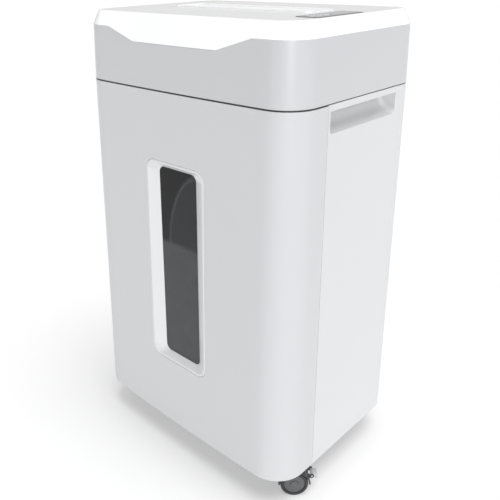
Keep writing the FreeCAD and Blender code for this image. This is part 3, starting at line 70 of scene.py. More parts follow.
reach = 1.0   # cutting tools go this far, past everything
quarter = [math.radians(15 * step) for step in range(7)]   # the steps of a quarter round

# levels and faces that many pieces share, all read from the frame
cabinetLow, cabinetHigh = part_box("cabinet_shell")
bandLow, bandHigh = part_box("head_band")
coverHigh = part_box("top_cover")[1]
plan = {
    "half": bandHigh.x,
    "front": bandLow.y,
    "back": bandHigh.y,
    "bulge": 4 * mm,
    "frontCorner": 40 * mm,
    "rearCorner": 36 * mm,
    "wall": 2.6 * mm,
    "fit": 0.3 * mm,
    "flare": cabinetHigh.x - bandHigh.x,
    "draft": bandHigh.x - coverHigh.x,
}


# small tools

def middle(node):
    low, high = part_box(node)
    return (low + high) / 2


def asPiece(name, bm, faceOut=True):
    if faceOut:
        bmesh.ops.recalc_face_normals(bm, faces=bm.faces)
    mesh = bpy.data.meshes.new(name)
    bm.to_mesh(mesh)
    bm.free()
    piece = bpy.data.objects.new(name, mesh)
    studio.collection.objects.link(piece)
    return piece


def settle(piece):
    # keep what the modifiers make as the piece's own mesh
    graph = bpy.context.evaluated_depsgraph_get()
    made = bpy.data.meshes.new_from_object(piece.evaluated_get(graph))
    piece.modifiers.clear()
    piece.data = made
    return piece


def combine(piece, operation, *tools):
    for tool in tools:
        modifier = piece.modifiers.new("combine", "BOOLEAN")
        modifier.operation = operation
        modifier.solver = "EXACT"
        modifier.object = tool
    settle(piece)
    for tool in tools:
        bpy.data.objects.remove(tool)
    return piece


def thicken(piece, wall):
    shell = piece.modifiers.new("wall", "SOLIDIFY")
    shell.thickness = wall
    shell.offset = -1
    shell.use_even_offset = True
    return settle(piece)


def tidied(piece, flat=0.05):
    # one vertex per corner, and every flat stretch a single face
    bm = bmesh.new()
    bm.from_mesh(piece.data)
    bmesh.ops.remove_doubles(bm, verts=bm.verts, dist=0.002 * mm)
    bmesh.ops.dissolve_limit(bm, angle_limit=math.radians(flat), verts=bm.verts, edges=bm.edges)
    bm.to_mesh(piece.data)
    bm.free()
    return piece


def soften(piece, width, segments=3, angle=32):
    # small rounds along every sharp edge, and level shading on the flats between them
    tidied(piece)
    for polygon in piece.data.polygons:
        polygon.use_smooth = True
    rounds = piece.modifiers.new("rounds", "BEVEL")
    rounds.width = width
    rounds.segments = segments
    rounds.limit_method = "ANGLE"
    rounds.angle_limit = math.radians(angle)
    rounds.use_clamp_overlap = False
    rounds.harden_normals = True
    level = piece.modifiers.new("flats", "WEIGHTED_NORMAL")
    level.keep_sharp = True
    return settle(piece)


def softCopy(name, node, width, segments=2):
    piece = bpy.data.objects.new(name, frame["nodes"][node].data.copy())
    studio.collection.objects.link(piece)
    return soften(piece, width, segments)


def fit(piece, *nodes):
    # the piece takes the nodes' place, their body and their finish
    slot = slotOf[nodes[0]]
    piece.data.materials.clear()
    piece.data.materials.append(finishes[slot])
    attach(piece, frame["nodes"][nodes[0]]["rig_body"])
    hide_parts(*nodes)
    return piece


def boxTool(low, high):
    bm = bmesh.new()
    low, high = Vector(low), Vector(high)
    bmesh.ops.create_cube(bm, size=1)
    bmesh.ops.scale(bm, vec=high - low, verts=bm.verts)
    bmesh.ops.translate(bm, vec=(low + high) / 2, verts=bm.verts)
    return asPiece("tool", bm)


def roundPlate(bm, width, height, corner, level=0, steps=6):
    # a flat face with four round corners
    faces = set(bm.faces)
    made = bmesh.ops.create_grid(bm, x_segments=1, y_segments=1, size=0.5)["verts"]
    bmesh.ops.scale(bm, vec=(width, height, 1), verts=made)
    bmesh.ops.translate(bm, vec=(0, 0, level), verts=made)
    bmesh.ops.bevel(bm, geom=made, offset=corner, offset_type="OFFSET", segments=steps,
                    profile=0.5, affect="VERTICES", material=-1)
    return next(face for face in bm.faces if face not in faces)


def prism(name, width, height, corner, depth, place, turn=Matrix.Identity(4)):
    # a rounded plate with a thickness, rising from its place
    bm = bmesh.new()
    face = roundPlate(bm, width, height, corner)
    grown = bmesh.ops.extrude_face_region(bm, geom=[face])["geom"]
    top = [item for item in grown if isinstance(item, bmesh.types.BMVert)]
    bmesh.ops.translate(bm, vec=(0, 0, depth), verts=top)
    bmesh.ops.transform(bm, matrix=Matrix.Translation(place) @ turn, verts=bm.verts)
    return asPiece(name, bm)


def ringStack(bm, rings, closed=False):
    # rounded outlines (width, height, corner, level), each joined to the next; they are joined
    # well apart, where loops pair up cleanly, and then brought to their levels
    loops = []
    for step, ring in enumerate(rings):
        face = roundPlate(bm, *ring[:3], step)
        loops.append((list(face.edges), list(face.verts)))
        bmesh.ops.delete(bm, geom=[face], context="FACES_ONLY")
    following = loops[1:] + loops[:1] if closed else loops[1:]
    for loop, other in zip(loops, following):
        bmesh.ops.bridge_loops(bm, edges=loop[0] + other[0])
    for step, ring in enumerate(rings):
        bmesh.ops.translate(bm, vec=(0, 0, ring[3] - step), verts=loops[step][1])


def turned(name, profile, axis, centre, steps=48):
    # a profile of (along the axis, radius) turned all the way round
    bm = bmesh.new()
    line = [bm.verts.new((along, 0, radius)) for along, radius in profile]
    edges = [bm.edges.new(pair) for pair in zip(line, line[1:])]
    bmesh.ops.spin(bm, geom=line + edges, cent=(0, 0, 0), axis=(1, 0, 0), dvec=(0, 0, 0),
                   angle=math.tau, steps=steps, use_merge=True)
    bmesh.ops.remove_doubles(bm, verts=bm.verts, dist=0.001 * mm)
    aim = Vector((1, 0, 0)).rotation_difference(Vector(axis)).to_matrix().to_4x4()
    bmesh.ops.transform(bm, matrix=Matrix.Translation(centre) @ aim, verts=bm.verts)
    return asPiece(name, bm)


# shader sums and nodes

def plug(tree, value, socket):
    if isinstance(value, Wire):
        tree.links.new(value.socket, socket)
    elif isinstance(value, tuple) and len(value) == 3 and socket.type == "RGBA":
        socket.default_value = (*value, 1)
    else:
        socket.default_value = value


class Wire:
    # a socket that can stand in a Python sum
    def __init__(self, tree, socket):
        self.tree = tree
        self.socket = socket

    def maths(self, operation, *values):
        node = self.tree.nodes.new("ShaderNodeMath")
        node.operation = operation
        for value, socket in zip(values, node.inputs):
            plug(self.tree, value, socket)
        return Wire(self.tree, node.outputs[0])

    def __add__(self, other):
        return self.maths("ADD", self, other)

    def __sub__(self, other):
        return self.maths("SUBTRACT", self, other)

    def __rsub__(self, other):
        return self.maths("SUBTRACT", other, self)

    def __mul__(self, other):
        return self.maths("MULTIPLY", self, other)

    def __truediv__(self, other):
        return self.maths("DIVIDE", self, other)

    def __lt__(self, other):
        return self.maths("LESS_THAN", self, other)

    def __gt__(self, other):
        return self.maths("GREATER_THAN", self, other)

    def __abs__(self):
        return self.maths("ABSOLUTE", self)

    def least(self, other):
        return self.maths("MINIMUM", self, other)

    def most(self, other):
        return self.maths("MAXIMUM", self, other)

    def clipped(self):
        return self.least(1.0).most(0.0)

    __radd__ = __add__
    __rmul__ = __mul__


class Nodes:
    # the nodes of one material, or of the room
    def __init__(self, owner):
        owner.use_nodes = True
        self.tree = owner.node_tree
        self.tree.nodes.clear()

    def node(self, kind, settings, sockets, output=None):
        made = self.tree.nodes.new("ShaderNode" + kind)
        for name, value in settings.items():
            setattr(made, name, value)
        for name, value in sockets.items():
            plug(self.tree, value, next(s for s in made.inputs if s.name == name and s.enabled))
        live = [s for s in made.outputs if s.enabled and output in (None, s.name)]
        return Wire(self.tree, live[0]) if live else None

    def vectors(self, operation, first, second, output):
        made = self.node("VectorMath", {"operation": operation}, {"Vector": first}, output)
        plug(self.tree, second, made.socket.node.inputs[1])
        return made


class Finish(Nodes):
    def __init__(self, name):
        self.material = bpy.data.materials.new(name)
        super().__init__(self.material)
        self.here = self.node("TexCoord", {}, {}, "Object")

    def spot(self, centre=(0, 0, 0), stretch=(1, 1, 1)):
        # the place on the object, counted from a centre
        away = self.vectors("SUBTRACT", self.here, centre, "Vector")
        return self.node("Mapping", {"vector_type": "POINT"}, {"Vector": away, "Scale": stretch})

    def axes(self, centre=(0, 0, 0)):
        parts = self.node("SeparateXYZ", {}, {"Vector": self.spot(centre)})
        return [Wire(self.tree, out) for out in parts.socket.node.outputs]

    def noise(self, size, detail=2, rough=0.5, stretch=(1, 1, 1), distortion=0):
        # values around a half, with features of about this size in metres
        return self.node("TexNoise", {}, {"Vector": self.spot(stretch=stretch), "Scale": 1 / size,
                         "Detail": detail, "Roughness": rough, "Distortion": distortion}, "Fac")

    def blend(self, first, second, factor):
        return self.node("Mix", {"data_type": "RGBA"},
                         {"A": first, "B": second, "Factor": factor})

    def bump(self, height, depth, before=None):
        sockets = {"Height": height, "Distance": depth, "Strength": 1.0}
        if before:
            sockets["Normal"] = before
        return self.node("Bump", {}, sockets)

    def surface(self, sockets):
        shader = self.node("BsdfPrincipled", {}, sockets)
        self.node("OutputMaterial", {}, {"Surface": shader})
        return self.material


# camera and studio

camera = {
    "place": (0.584, -0.670, 0.721),
    "turn": 45.2,
    "lookDown": 21.6,
    "roll": -1.1,
    "lens": 45.07,
    "sensor": 36,
    "shift": (0.10, -0.08),
}
lights = {
    # each lamp: bearing round from the front, height, softness in degrees, strength
    "overhead": {"bearing": 85, "height": 74, "softness": 40, "strength": 2.05},
    "corner": {"bearing": 46, "height": 13, "softness": 24, "strength": 2.0},
    # the room glows more behind the object than before it
    "room": {"front": 0.0, "rear": 0.60, "towards": (-0.60, 0.74, 0.30)},
    "backdrop": 1.0,
}


def placeCamera():
    data = bpy.data.cameras.new("camera")
    data.sensor_width = camera["sensor"]
    data.lens = camera["lens"]
    data.shift_x, data.shift_y = camera["shift"]
    eye = bpy.data.objects.new("camera", data)
    turns = (Matrix.Rotation(math.radians(camera["turn"]), 4, "Z")
             @ Matrix.Rotation(math.radians(90 - camera["lookDown"]), 4, "X")
             @ Matrix.Rotation(math.radians(camera["roll"]), 4, "Z"))
    eye.matrix_world = Matrix.Translation(camera["place"]) @ turns
    studio.collection.objects.link(eye)
    studio.camera = eye


def hangLamp(name):
    # a wide soft source, far off
    look = lights[name]
    data = bpy.data.lights.new(name, "SUN")
    data.angle = math.radians(look["softness"])
    data.energy = look["strength"]
    lamp = bpy.data.objects.new(name, data)
    lamp.matrix_world = (Matrix.Rotation(math.radians(look["bearing"]), 4, "Z")
                         @ Matrix.Rotation(math.radians(90 - look["height"]), 4, "X"))
    studio.collection.objects.link(lamp)


def lightTheRoom():
    # a white backdrop for the eye; for the object, walls that glow more behind it than before it
    look = lights["room"]
    world = bpy.data.worlds.new("room")
    room = Nodes(world)
    way = room.node("TexCoord", {}, {}, "Generated")
    facing = room.vectors("DOT_PRODUCT", way, look["towards"], "Value")
    wall = (facing + 1) * 0.5 * (look["rear"] - look["front"]) + look["front"]
    seen = room.node("LightPath", {}, {}, "Is Camera Ray")
    strength = wall + (lights["backdrop"] - wall) * seen
    glow = room.node("Background", {}, {"Color": (1, 1, 1), "Strength": strength})
    room.node("OutputWorld", {}, {"Surface": glow})
    studio.world = world


placeCamera()
hangLamp("overhead")
hangLamp("corner")
lightTheRoom()
studio.view_settings.view_transform = "Standard"
print("camera and lights are up")


# finishes

moulded = {
    # finish: colour, roughness, coat, grain size and depth, haze of the colour
    "cabinet_white": ((0.62, 0.625, 0.635), 0.34, 0.25, 0.5, 0.010, 0.012),
    "drawer_grey": ((0.555, 0.56, 0.577), 0.30, 0.35, 0.5, 0.010, 0.012),
    "band_grey": ((0.525, 0.53, 0.547), 0.30, 0.35, 0.5, 0.010, 0.012),
    "cover_white": ((0.93, 0.932, 0.935), 0.24, 0.45, 0.6, 0.006, 0.012),
    "bezel_white": ((0.66, 0.662, 0.67), 0.22, 0.45, 0.6, 0.006, 0.012),
    "throat_white": ((0.80, 0.803, 0.81), 0.42, 0.10, 0.4, 0.020, 0.018),
    "bin_grey": ((0.33, 0.335, 0.345), 0.48, 0.05, 0.8, 0.030, 0.040),
    "base_black": ((0.055, 0.056, 0.06), 0.52, 0.0, 0.9, 0.030, 0.15),
    "caster_black": ((0.030, 0.030, 0.034), 0.36, 0.20, 0.5, 0.012, 0.15),
    "mains_black": ((0.028, 0.028, 0.031), 0.42, 0.10, 0.4, 0.016, 0.15),
    "stripper_nylon": ((0.10, 0.10, 0.105), 0.46, 0.05, 0.5, 0.014, 0.10),
    "gear_nylon": ((0.78, 0.76, 0.69), 0.38, 0.15, 0.6, 0.010, 0.060),
    "capacitor_grey": ((0.50, 0.51, 0.53), 0.35, 0.20, 0.6, 0.008, 0.050),
}
metals = {
    # finish: colour, roughness, direction that the strokes follow, their width and depth
    "plate_steel": ((0.60, 0.61, 0.63), 0.36, (1, 12, 1), 1.2, 0.004),
    "cutter_steel": ((0.34, 0.34, 0.35), 0.32, (14, 1, 1), 0.8, 0.006),
    "shaft_steel": ((0.55, 0.55, 0.57), 0.26, (16, 1, 1), 0.6, 0.003),
    "gear_steel": ((0.40, 0.40, 0.41), 0.44, (1, 1, 1), 0.5, 0.010),
    "bush_bronze": ((0.62, 0.41, 0.20), 0.40, (1, 1, 1), 0.4, 0.010),
    "contact_metal": ((0.82, 0.79, 0.70), 0.24, (1, 1, 10), 0.5, 0.002),
    "screw_zinc": ((0.70, 0.70, 0.72), 0.28, (8, 8, 1), 0.4, 0.003),
}


def mouldedPlastic(name, colour, rough, coat, grain, deep, haze):
    # fine spark texture from the mould, slow clouds in the colour, faint handling marks in the gloss
    skin = Finish(name)
    clouds = skin.noise(160 * mm, detail=3)
    flow = skin.noise(30 * mm, detail=4, rough=0.6, stretch=(1, 1, 0.25))
    texture = skin.noise(grain * mm, detail=2, rough=0.7)
    waves = skin.noise(70 * mm, detail=1)
    dark = tuple(part * (1 - haze) for part in colour)
    light = tuple(min(part * (1 + haze), 1) for part in colour)
    tint = skin.blend(dark, light, ((clouds + flow + texture - 0.5) * 0.5).clipped())
    relief = skin.bump(waves, 0.12 * mm)
    return skin.surface({
        "Base Color": tint,
        "Roughness": rough + (flow - 0.5) * 0.05 + (texture - 0.5) * 0.08,
        "Coat Weight": coat,
        "Coat Roughness": 0.12,
        "Normal": skin.bump(texture, deep * mm, relief),
    })


def strokedMetal(name, colour, rough, strokes, width, deep):
    # long fine strokes along one way, with a few stains
    metal = Finish(name)
    lines = metal.noise(width * mm, detail=3, rough=0.7, stretch=strokes)
    stains = metal.noise(14 * mm, detail=4, rough=0.6)
    dull = tuple(part * 0.72 for part in colour)
    return metal.surface({
        "Base Color": metal.blend(dull, colour, (stains * 1.4 + (lines - 0.5) * 0.5 - 0.2).clipped()),
        "Metallic": 1.0,
        "Roughness": (rough + (lines - 0.5) * 0.3 + (stains - 0.5) * 0.2).clipped(),
        "Normal": metal.bump(lines, deep * mm),
    })


def paintedCan():
    # stoved paint over a drawn steel can
    can = Finish("motorPaint")
    peel = can.noise(1.6 * mm, detail=2)
    chips = can.noise(6 * mm, detail=5, rough=0.7)
    bare = chips > 0.70
    return can.surface({
        "Base Color": can.blend((0.24, 0.25, 0.265), (0.48, 0.49, 0.50), bare),
        "Metallic": bare * 0.8,
        "Roughness": 0.38 + (peel - 0.5) * 0.2,
        "Normal": can.bump(peel, 0.03 * mm),
    })


smoke = {
    # shares of the pane's width and height
    "hazeLine": 0.635,
    "arcCentre": (1.1, 0.6),
    "arcReach": (0.9, 0.4),
    "arcEdgeAt": 0.93,
    # the sheet's own colour, and the lighter grey painted on it below the level line and in the arc
    "clear": (0.003, 0.0032, 0.004),
    "hazed": (0.062, 0.064, 0.070),
}


def smokeAcrylic():
    # dark clear sheet, painted lighter grey and more opaque below a level line; above it a fainter grey
    # inside an arc, and a thin lighter band just inside the arc's edge
    low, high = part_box("window_pane")
    pane = Finish("smokeAcrylic")
    across, up = pane.axes((low.x, 0, low.z))[::2]
    side = across / (high.x - low.x)
    level = up / (high.z - low.z)
    mottle = pane.noise(26 * mm, detail=5, rough=0.65)
    belowLine = ((smoke["hazeLine"] - level + (mottle - 0.5) * 0.02) * 40).clipped()
    besideArc = (side - smoke["arcCentre"][0]) / smoke["arcReach"][0]
    overArc = (level - smoke["arcCentre"][1]) / smoke["arcReach"][1]
    arc = besideArc * besideArc + overArc * overArc
    insideArc = ((1 - arc) * 12).clipped()
    offArcEdge = arc - smoke["arcEdgeAt"]
    arcEdge = (1 - offArcEdge * offArcEdge * 150).clipped()
    # the painted haze: lighter grey below the level line, fainter inside the arc, brighter in a thin band
    # at its edge
    haze = belowLine * 0.85 + (1 - belowLine) * (insideArc * 0.26 + arcEdge * 0.34)
    haze = (haze * (0.80 + mottle * 0.4)).clipped()
    specks = pane.noise(0.7 * mm, detail=1)
    return pane.surface({
        "Base Color": pane.blend(smoke["clear"], smoke["hazed"], haze),
        "Roughness": 0.09 + haze * 0.14 + (specks - 0.5) * 0.04,
        "Alpha": 0.90 + haze * 0.08,
        "IOR": 1.38,
        "Normal": pane.bump(pane.noise(90 * mm, detail=0), 0.20 * mm),
    })


def blackPanel():
    # polished panel with fine wipe marks
    panel = Finish("blackPanel")
    wipes = panel.noise(9 * mm, detail=6, rough=0.7, stretch=(1, 0.2, 1), distortion=0.6)
    prints = panel.noise(24 * mm, detail=3)
    return panel.surface({
        "Base Color": panel.blend((0.012, 0.012, 0.014), (0.030, 0.030, 0.034), prints),
        "Roughness": (0.10 + (wipes - 0.5) * 0.16 + (prints - 0.5) * 0.08).clipped(),
        "Coat Weight": 0.8,
        "Coat Roughness": 0.04,
        "Normal": panel.bump(wipes, 0.004 * mm),
    })


def displayGlass(bars=5):
    # grey lens with a row of load bars printed under it, and a faint painted glow over it that no lamp
    # gives
    low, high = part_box("display_lens")
    lens = Finish("displayGlass")
    across, along = lens.axes((low.x, low.y, 0))[:2]
    wide, length = high.x - low.x, high.y - low.y
    step = along / length * (bars + 2) - 1
    cell = step.maths("FRACT", step)
    inRow = (step > 0) * (step < bars)
    marked = (across > wide * 0.30) * (across < wide * 0.66) * (cell > 0.22) * (cell < 0.78) * inRow
    rim = lens.noise(3 * mm, detail=3)
    return lens.surface({
        "Base Color": lens.blend((0.30, 0.305, 0.315), (0.075, 0.08, 0.085), marked),
        "Roughness": 0.09 + (rim - 0.5) * 0.06,
        "Coat Weight": 0.9,
        "Coat Roughness": 0.03,
        # painted glow: the lens shines faintly grey, less over the bars, with no lamp behind it
        "Emission Color": lens.blend((0.10, 0.10, 0.105), (0.02, 0.025, 0.03), marked),
        "Emission Strength": 0.25,
        "Normal": lens.bump(rim, 0.01 * mm),
    })


def keyPrint():
    # satin keys: arrows forward and back, and a ring with a bar on the middle one
    skin = Finish("keyPrint")
    marks = []
    for node, way in (("forward_key", -1), ("reverse_key", 1)):
        across, along = skin.axes((*middle(node).xy, 0))[:2]
        head = abs(across) + along * way
        marks.append((head < 1.47 * mm) * (along * way > -1.89 * mm))
    across, along = skin.axes((*middle("power_key").xy, 0))[:2]
    away = across.maths("SQRT", across * across + along * along)
    ring = (abs(away - 2.2 * mm) < 0.35 * mm) * (1 - (abs(across) < 0.8 * mm) * (along > 0))
    bar = (abs(across) < 0.32 * mm) * (along > 0.4 * mm) * (along < 2.6 * mm)
    marks.append(ring.most(bar))
    level = skin.axes((0, 0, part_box("power_key")[1].z - 1.0 * mm))[2]
    printed = marks[0].most(marks[1]).most(marks[2]) * (level > 0)
    texture = skin.noise(0.35 * mm, detail=2)
    return skin.surface({
        "Base Color": skin.blend((0.60, 0.61, 0.625), (0.10, 0.105, 0.11), printed),
        "Roughness": 0.36 + (texture - 0.5) * 0.12,
        "Normal": skin.bump(texture - printed * 0.8, 0.012 * mm),
    })


def circuitBoard():
    # green lacquer over copper tracks, with plated holes on a grid
    board = Finish("circuitBoard")
    pitch = 5 * mm
    across, along = board.axes(tuple(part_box("circuit_board")[0]))[:2]
    column = across / pitch
    row = along / pitch
    x = column.maths("FRACT", column) - 0.5
    y = row.maths("FRACT", row) - 0.5
    away = x.maths("SQRT", x * x + y * y)
    holes = away < 0.16
    plated = away < 0.26
    wander = board.noise(11 * mm, detail=2)
    tracks = (abs(wander - 0.5) < 0.02).most(abs(wander - 0.58) < 0.015)
    green = board.blend((0.030, 0.16, 0.065), (0.055, 0.24, 0.10), tracks)
    metal = board.blend(green, (0.72, 0.70, 0.66), plated)
    return board.surface({
        "Base Color": board.blend(metal, (0.02, 0.02, 0.02), holes),
        "Metallic": plated * (1 - holes) * 0.9,
        "Roughness": 0.34 + tracks * 0.08,
        "Normal": board.bump(tracks + plated, 0.03 * mm),
    })


def casterRubber():
    # black tread outside the rim, grey hub inside it, told apart by the distance to the axle
    tyre = Finish("casterRubber")
    around = None
    for name in casterNames:
        across, along, up = tyre.axes(tuple(jointOf[name + "_wheel_roll"]["pos_m"]))
        square = across * across + along * along + up * up
        around = square if around is None else around.least(square)
    far = around.maths("SQRT", around)
    scuffs = tyre.noise(2.5 * mm, detail=5, rough=0.7)
    hub = far < 20.6 * mm
    shade = tyre.blend((0.018, 0.018, 0.020), (0.040, 0.040, 0.043), scuffs)
    return tyre.surface({
        "Base Color": tyre.blend(shade, (0.095, 0.097, 0.102), hub),
        "Roughness": (0.62 - hub * 0.14 + (scuffs - 0.5) * 0.2).clipped(),
        "Normal": tyre.bump(scuffs, 0.03 * mm),
    })


casterNames = ("front_left", "front_right", "rear_left", "rear_right")
finishes = {name: mouldedPlastic(name, *look) for name, look in moulded.items()}
finishes.update({name: strokedMetal(name, *look) for name, look in metals.items()})
finishes.update({
    "motor_grey": paintedCan(),
    "smoke_pane": smokeAcrylic(),
    "panel_black": blackPanel(),
    "display_grey": displayGlass(),
    "key_grey": keyPrint(),
    "board_green": circuitBoard(),
    "wheel_grey": casterRubber(),
})
for node, part in frame["nodes"].items():
    part.data.materials.clear()
    part.data.materials.append(finishes[slotOf[node]])
print(len(finishes), "finishes are mixed")


# the body's plan and the walls drawn up from it

def outsetAt(level):
    # how far the cabinet's face stands outside the plan at a level
    return plan["flare"] * (cabinetHigh.z - level) / (cabinetHigh.z - cabinetLow.z)


def faceAt(x, outset):
    # where the bowed front lies, this far along it
    half = plan["half"] + outset
    return plan["front"] + plan["bulge"] - outset - plan["bulge"] * (1 - (x / half) ** 2)


def planFace(bm, outset, level, frontCuts=39, steps=12):
    # bowed front, straight sides and four round corners
    low = Vector((-plan["half"] - outset, plan["front"] + plan["bulge"] - outset, level))
    high = Vector((plan["half"] + outset, plan["back"] + outset, level))
    made = bmesh.ops.create_grid(bm, x_segments=1, y_segments=1, size=0.5)["verts"]
    bmesh.ops.scale(bm, vec=(high.x - low.x, high.y - low.y, 1), verts=made)
    bmesh.ops.translate(bm, vec=(low + high) / 2, verts=made)
    front = [vert for vert in made if vert.co.y < 0]
    rear = [vert for vert in made if vert.co.y > 0]
    for corners, radius in ((rear, plan["rearCorner"]), (front, plan["frontCorner"])):
        bmesh.ops.bevel(bm, geom=corners, offset=radius + outset, offset_type="OFFSET", segments=steps,
                        profile=0.5, affect="VERTICES", material=-1)
    face = next(iter(bm.faces))
    straight = max((edge for edge in face.edges if edge.verts[0].co.y < 0 and edge.verts[1].co.y < 0),
                   key=lambda edge: abs(edge.verts[0].co.x - edge.verts[1].co.x))
    bmesh.ops.bisect_edges(bm, edges=[straight], cuts=frontCuts)
    for vert in face.verts:
        if vert.co.y < 0:
            vert.co.y -= plan["bulge"] * (1 - (vert.co.x / high.x) ** 2)
    return face


def planWall(bm, low, high, lowOutset, highOutset):
    # a wall between two levels; the face that closes its top comes back
    face = planFace(bm, lowOutset, low)
    bmesh.ops.inset_region(bm, faces=[face], thickness=lowOutset - highOutset, depth=high - low,
                           use_even_offset=True, use_boundary=True)
    return face


def planSolid(name, low, high, lowOutset, highOutset):
    bm = bmesh.new()
    planWall(bm, low, high, lowOutset, highOutset)
    bmesh.ops.holes_fill(bm, edges=bm.edges, sides=0)
    return asPiece(name, bm)


def cabinetRing(name, top):
    # a wall all round, open above and below
    outer = planSolid(name, cabinetLow.z, top, plan["flare"], outsetAt(top))
    low, high = cabinetLow.z - 1 * mm, top + 1 * mm
    inner = planSolid("inner", low, high, outsetAt(low) - plan["wall"], outsetAt(high) - plan["wall"])
    return combine(outer, "DIFFERENCE", inner)


# cabinet shell with its two hand grips

grip = {
    "behindDrawer": 3.2 * mm,
    "length": 150 * mm,
    "belowSeam": 8 * mm,
    "reach": 27 * mm,
    "endRound": 7 * mm,
    "steps": 64,
}


def gripForm(side, radius, length, top):
    # half a drum lying along the side, cut level at the top
    bm = bmesh.new()
    bmesh.ops.create_cone(bm, cap_ends=True, segments=grip["steps"], radius1=radius, radius2=radius,
                          depth=length)
    rims = [edge for edge in bm.edges if abs(edge.verts[0].co.z - edge.verts[1].co.z) < 0.1 * mm]
    bmesh.ops.bevel(bm, geom=rims, offset=grip["endRound"], offset_type="OFFSET", segments=5, profile=0.5,
                    affect="EDGES", material=-1)
    centre = cabinetLow.y + grip["behindDrawer"] + grip["length"] / 2
    level = cabinetHigh.z - grip["belowSeam"]
    bmesh.ops.transform(bm, matrix=Matrix.Translation((side * plan["half"], centre, level)) @ upright,
                        verts=bm.verts)
    bmesh.ops.bisect_plane(bm, geom=bm.verts[:] + bm.edges[:] + bm.faces[:], plane_co=(0, 0, level + top),
                           plane_no=(0, 0, 1), clear_outer=True)
    bmesh.ops.holes_fill(bm, edges=bm.edges, sides=0)
    return asPiece("gripForm", bm)


def cabinetShell():
    shell = cabinetRing("cabinetShell", cabinetHigh.z)
    ahead = boxTool((-reach, -reach, -reach), (reach, cabinetLow.y, reach))
    combine(shell, "DIFFERENCE", ahead)
    wall = plan["wall"]
    for side in (-1, 1):
        body = planSolid("limit", cabinetLow.z, cabinetHigh.z, plan["flare"] - 0.4 * mm, -0.4 * mm)
        cup = gripForm(side, grip["reach"] + wall, grip["length"] + wall * 2, wall)
        combine(cup, "INTERSECT", body)
        combine(shell, "UNION", cup)
        combine(shell, "DIFFERENCE", gripForm(side, grip["reach"], grip["length"], 0))
    return fit(soften(shell, 0.7 * mm), "cabinet_shell")


cabinetShell()
print("cabinet shell stands")


# drawer front with its window, ribs, bezel and pane

window = {
    "lip": 3 * mm,
    "mouthCorner": 12 * mm,
    "corner": 15 * mm,
    "paneCorner": 9 * mm,
    "floorWidth": 70 * mm,
    "floorHeight": 293 * mm,
    "ribWidth": 8 * mm,
    "ribSpread": 180 * mm,
}
bezelLow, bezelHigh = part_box("window_bezel")
paneLow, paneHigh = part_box("window_pane")


def drawerFront():
    low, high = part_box("drawer_front")
    front = cabinetRing("drawerFront", high.z)
    combine(front, "INTERSECT", boxTool((-reach, -reach, 0), (reach, high.y, high.z + 1 * mm)))
    half = window["ribWidth"] / 2
    setBack = plan["wall"] - 0.5 * mm
    binLow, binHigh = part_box("waste_bin")
    for side in (-1, 1):
        centre = side * window["ribSpread"] / 2
        rib = boxTool((centre - half, low.y, bezelLow.z), (centre + half, binLow.y, binHigh.z))
        combine(rib, "INTERSECT", planSolid("inner", cabinetLow.z, high.z, plan["flare"] - setBack,
                                            outsetAt(high.z) - setBack))
        combine(front, "UNION", rib)
    gap = plan["fit"]
    size = bezelHigh - bezelLow
    centre = (bezelLow + bezelHigh) / 2
    hole = prism("hole", size.x + gap * 2, size.z + gap * 2, window["corner"] + gap, reach,
                 (centre.x, binLow.y, centre.z), upright)
    combine(front, "DIFFERENCE", hole)
    return fit(soften(front, 0.6 * mm), "drawer_front")


def windowBezel():
    # a flat lip level with the front, then walls that dish in to the pane and its seat
    size = bezelHigh - bezelLow
    centre = (bezelLow + bezelHigh) / 2
    seat = paneHigh - paneLow
    gap = plan["fit"]
    lip = window["lip"]
    bm = bmesh.new()
    ringStack(bm, [
        (size.x, size.z, window["corner"], -bezelHigh.y),
        (size.x, size.z, window["corner"], -bezelLow.y),
        (size.x - lip * 2, size.z - lip * 2, window["mouthCorner"], -bezelLow.y),
        (window["floorWidth"], window["floorHeight"], window["paneCorner"], -paneLow.y),
        (seat.x + gap * 2, seat.z + gap * 2, window["paneCorner"], -paneLow.y),
        (seat.x + gap * 2, seat.z + gap * 2, window["paneCorner"], -bezelHigh.y),
    ], closed=True)
    bmesh.ops.transform(bm, matrix=Matrix.Translation((centre.x, 0, centre.z)) @ upright, verts=bm.verts)
    for vert in bm.verts:
        if vert.co.y < bezelLow.y + 1 * mm:
            vert.co.y = faceAt(vert.co.x, outsetAt(vert.co.z))
    return fit(soften(asPiece("windowBezel", bm), 0.8 * mm, 4), "window_bezel")


def windowPane():
    size = paneHigh - paneLow
    centre = (paneLow + paneHigh) / 2
    pane = prism("windowPane", size.x, size.z, window["paneCorner"], size.y,
                 (centre.x, paneHigh.y, centre.z), upright)
    return fit(soften(pane, 0.3 * mm, 2), "window_pane")


drawerFront()
windowBezel()
windowPane()
print("drawer front and window are in")


# head: band, top cover and the dip between them

dip = {
    "depth": 17 * mm,
    "bottom": 150 * mm,
    "top": 256 * mm,
}
vents = {"count": 9, "pitch": 9 * mm, "width": 3.5 * mm, "height": 30 * mm, "place": 70 * mm, "up": 35 * mm}
rearFittings = {"nodes": ("mains_inlet", "rocker_housing"), "flange": 3 * mm, "depth": 12 * mm}
cover = {
    "inset": 9 * mm,
    "brow": 2.4 * mm,
    "foot": bandHigh.z,
    "slope": plan["draft"] / (bandHigh.z - bandLow.z),
    "flangeCorner": 9 * mm,
    "ledge": 3 * mm,
    "stripCorner": 4 * mm,
    "cutDepth": 20 * mm,
}


def dipAt(x):
    return dip["depth"] * min(max((dip["top"] / 2 - abs(x)) / (dip["top"] - dip["bottom"]) * 2, 0), 1)


def followDip(verts, gap):
    # the front edge sinks along the dip, and keeps to the band's sloping face
    for vert in verts:
        if vert.co.y < plan["front"] + plan["frontCorner"] / 2:
            sink = dipAt(vert.co.x) + (gap if dipAt(vert.co.x) > 0 else 0)
            vert.co.z -= sink
            vert.co.y -= sink * cover["slope"]


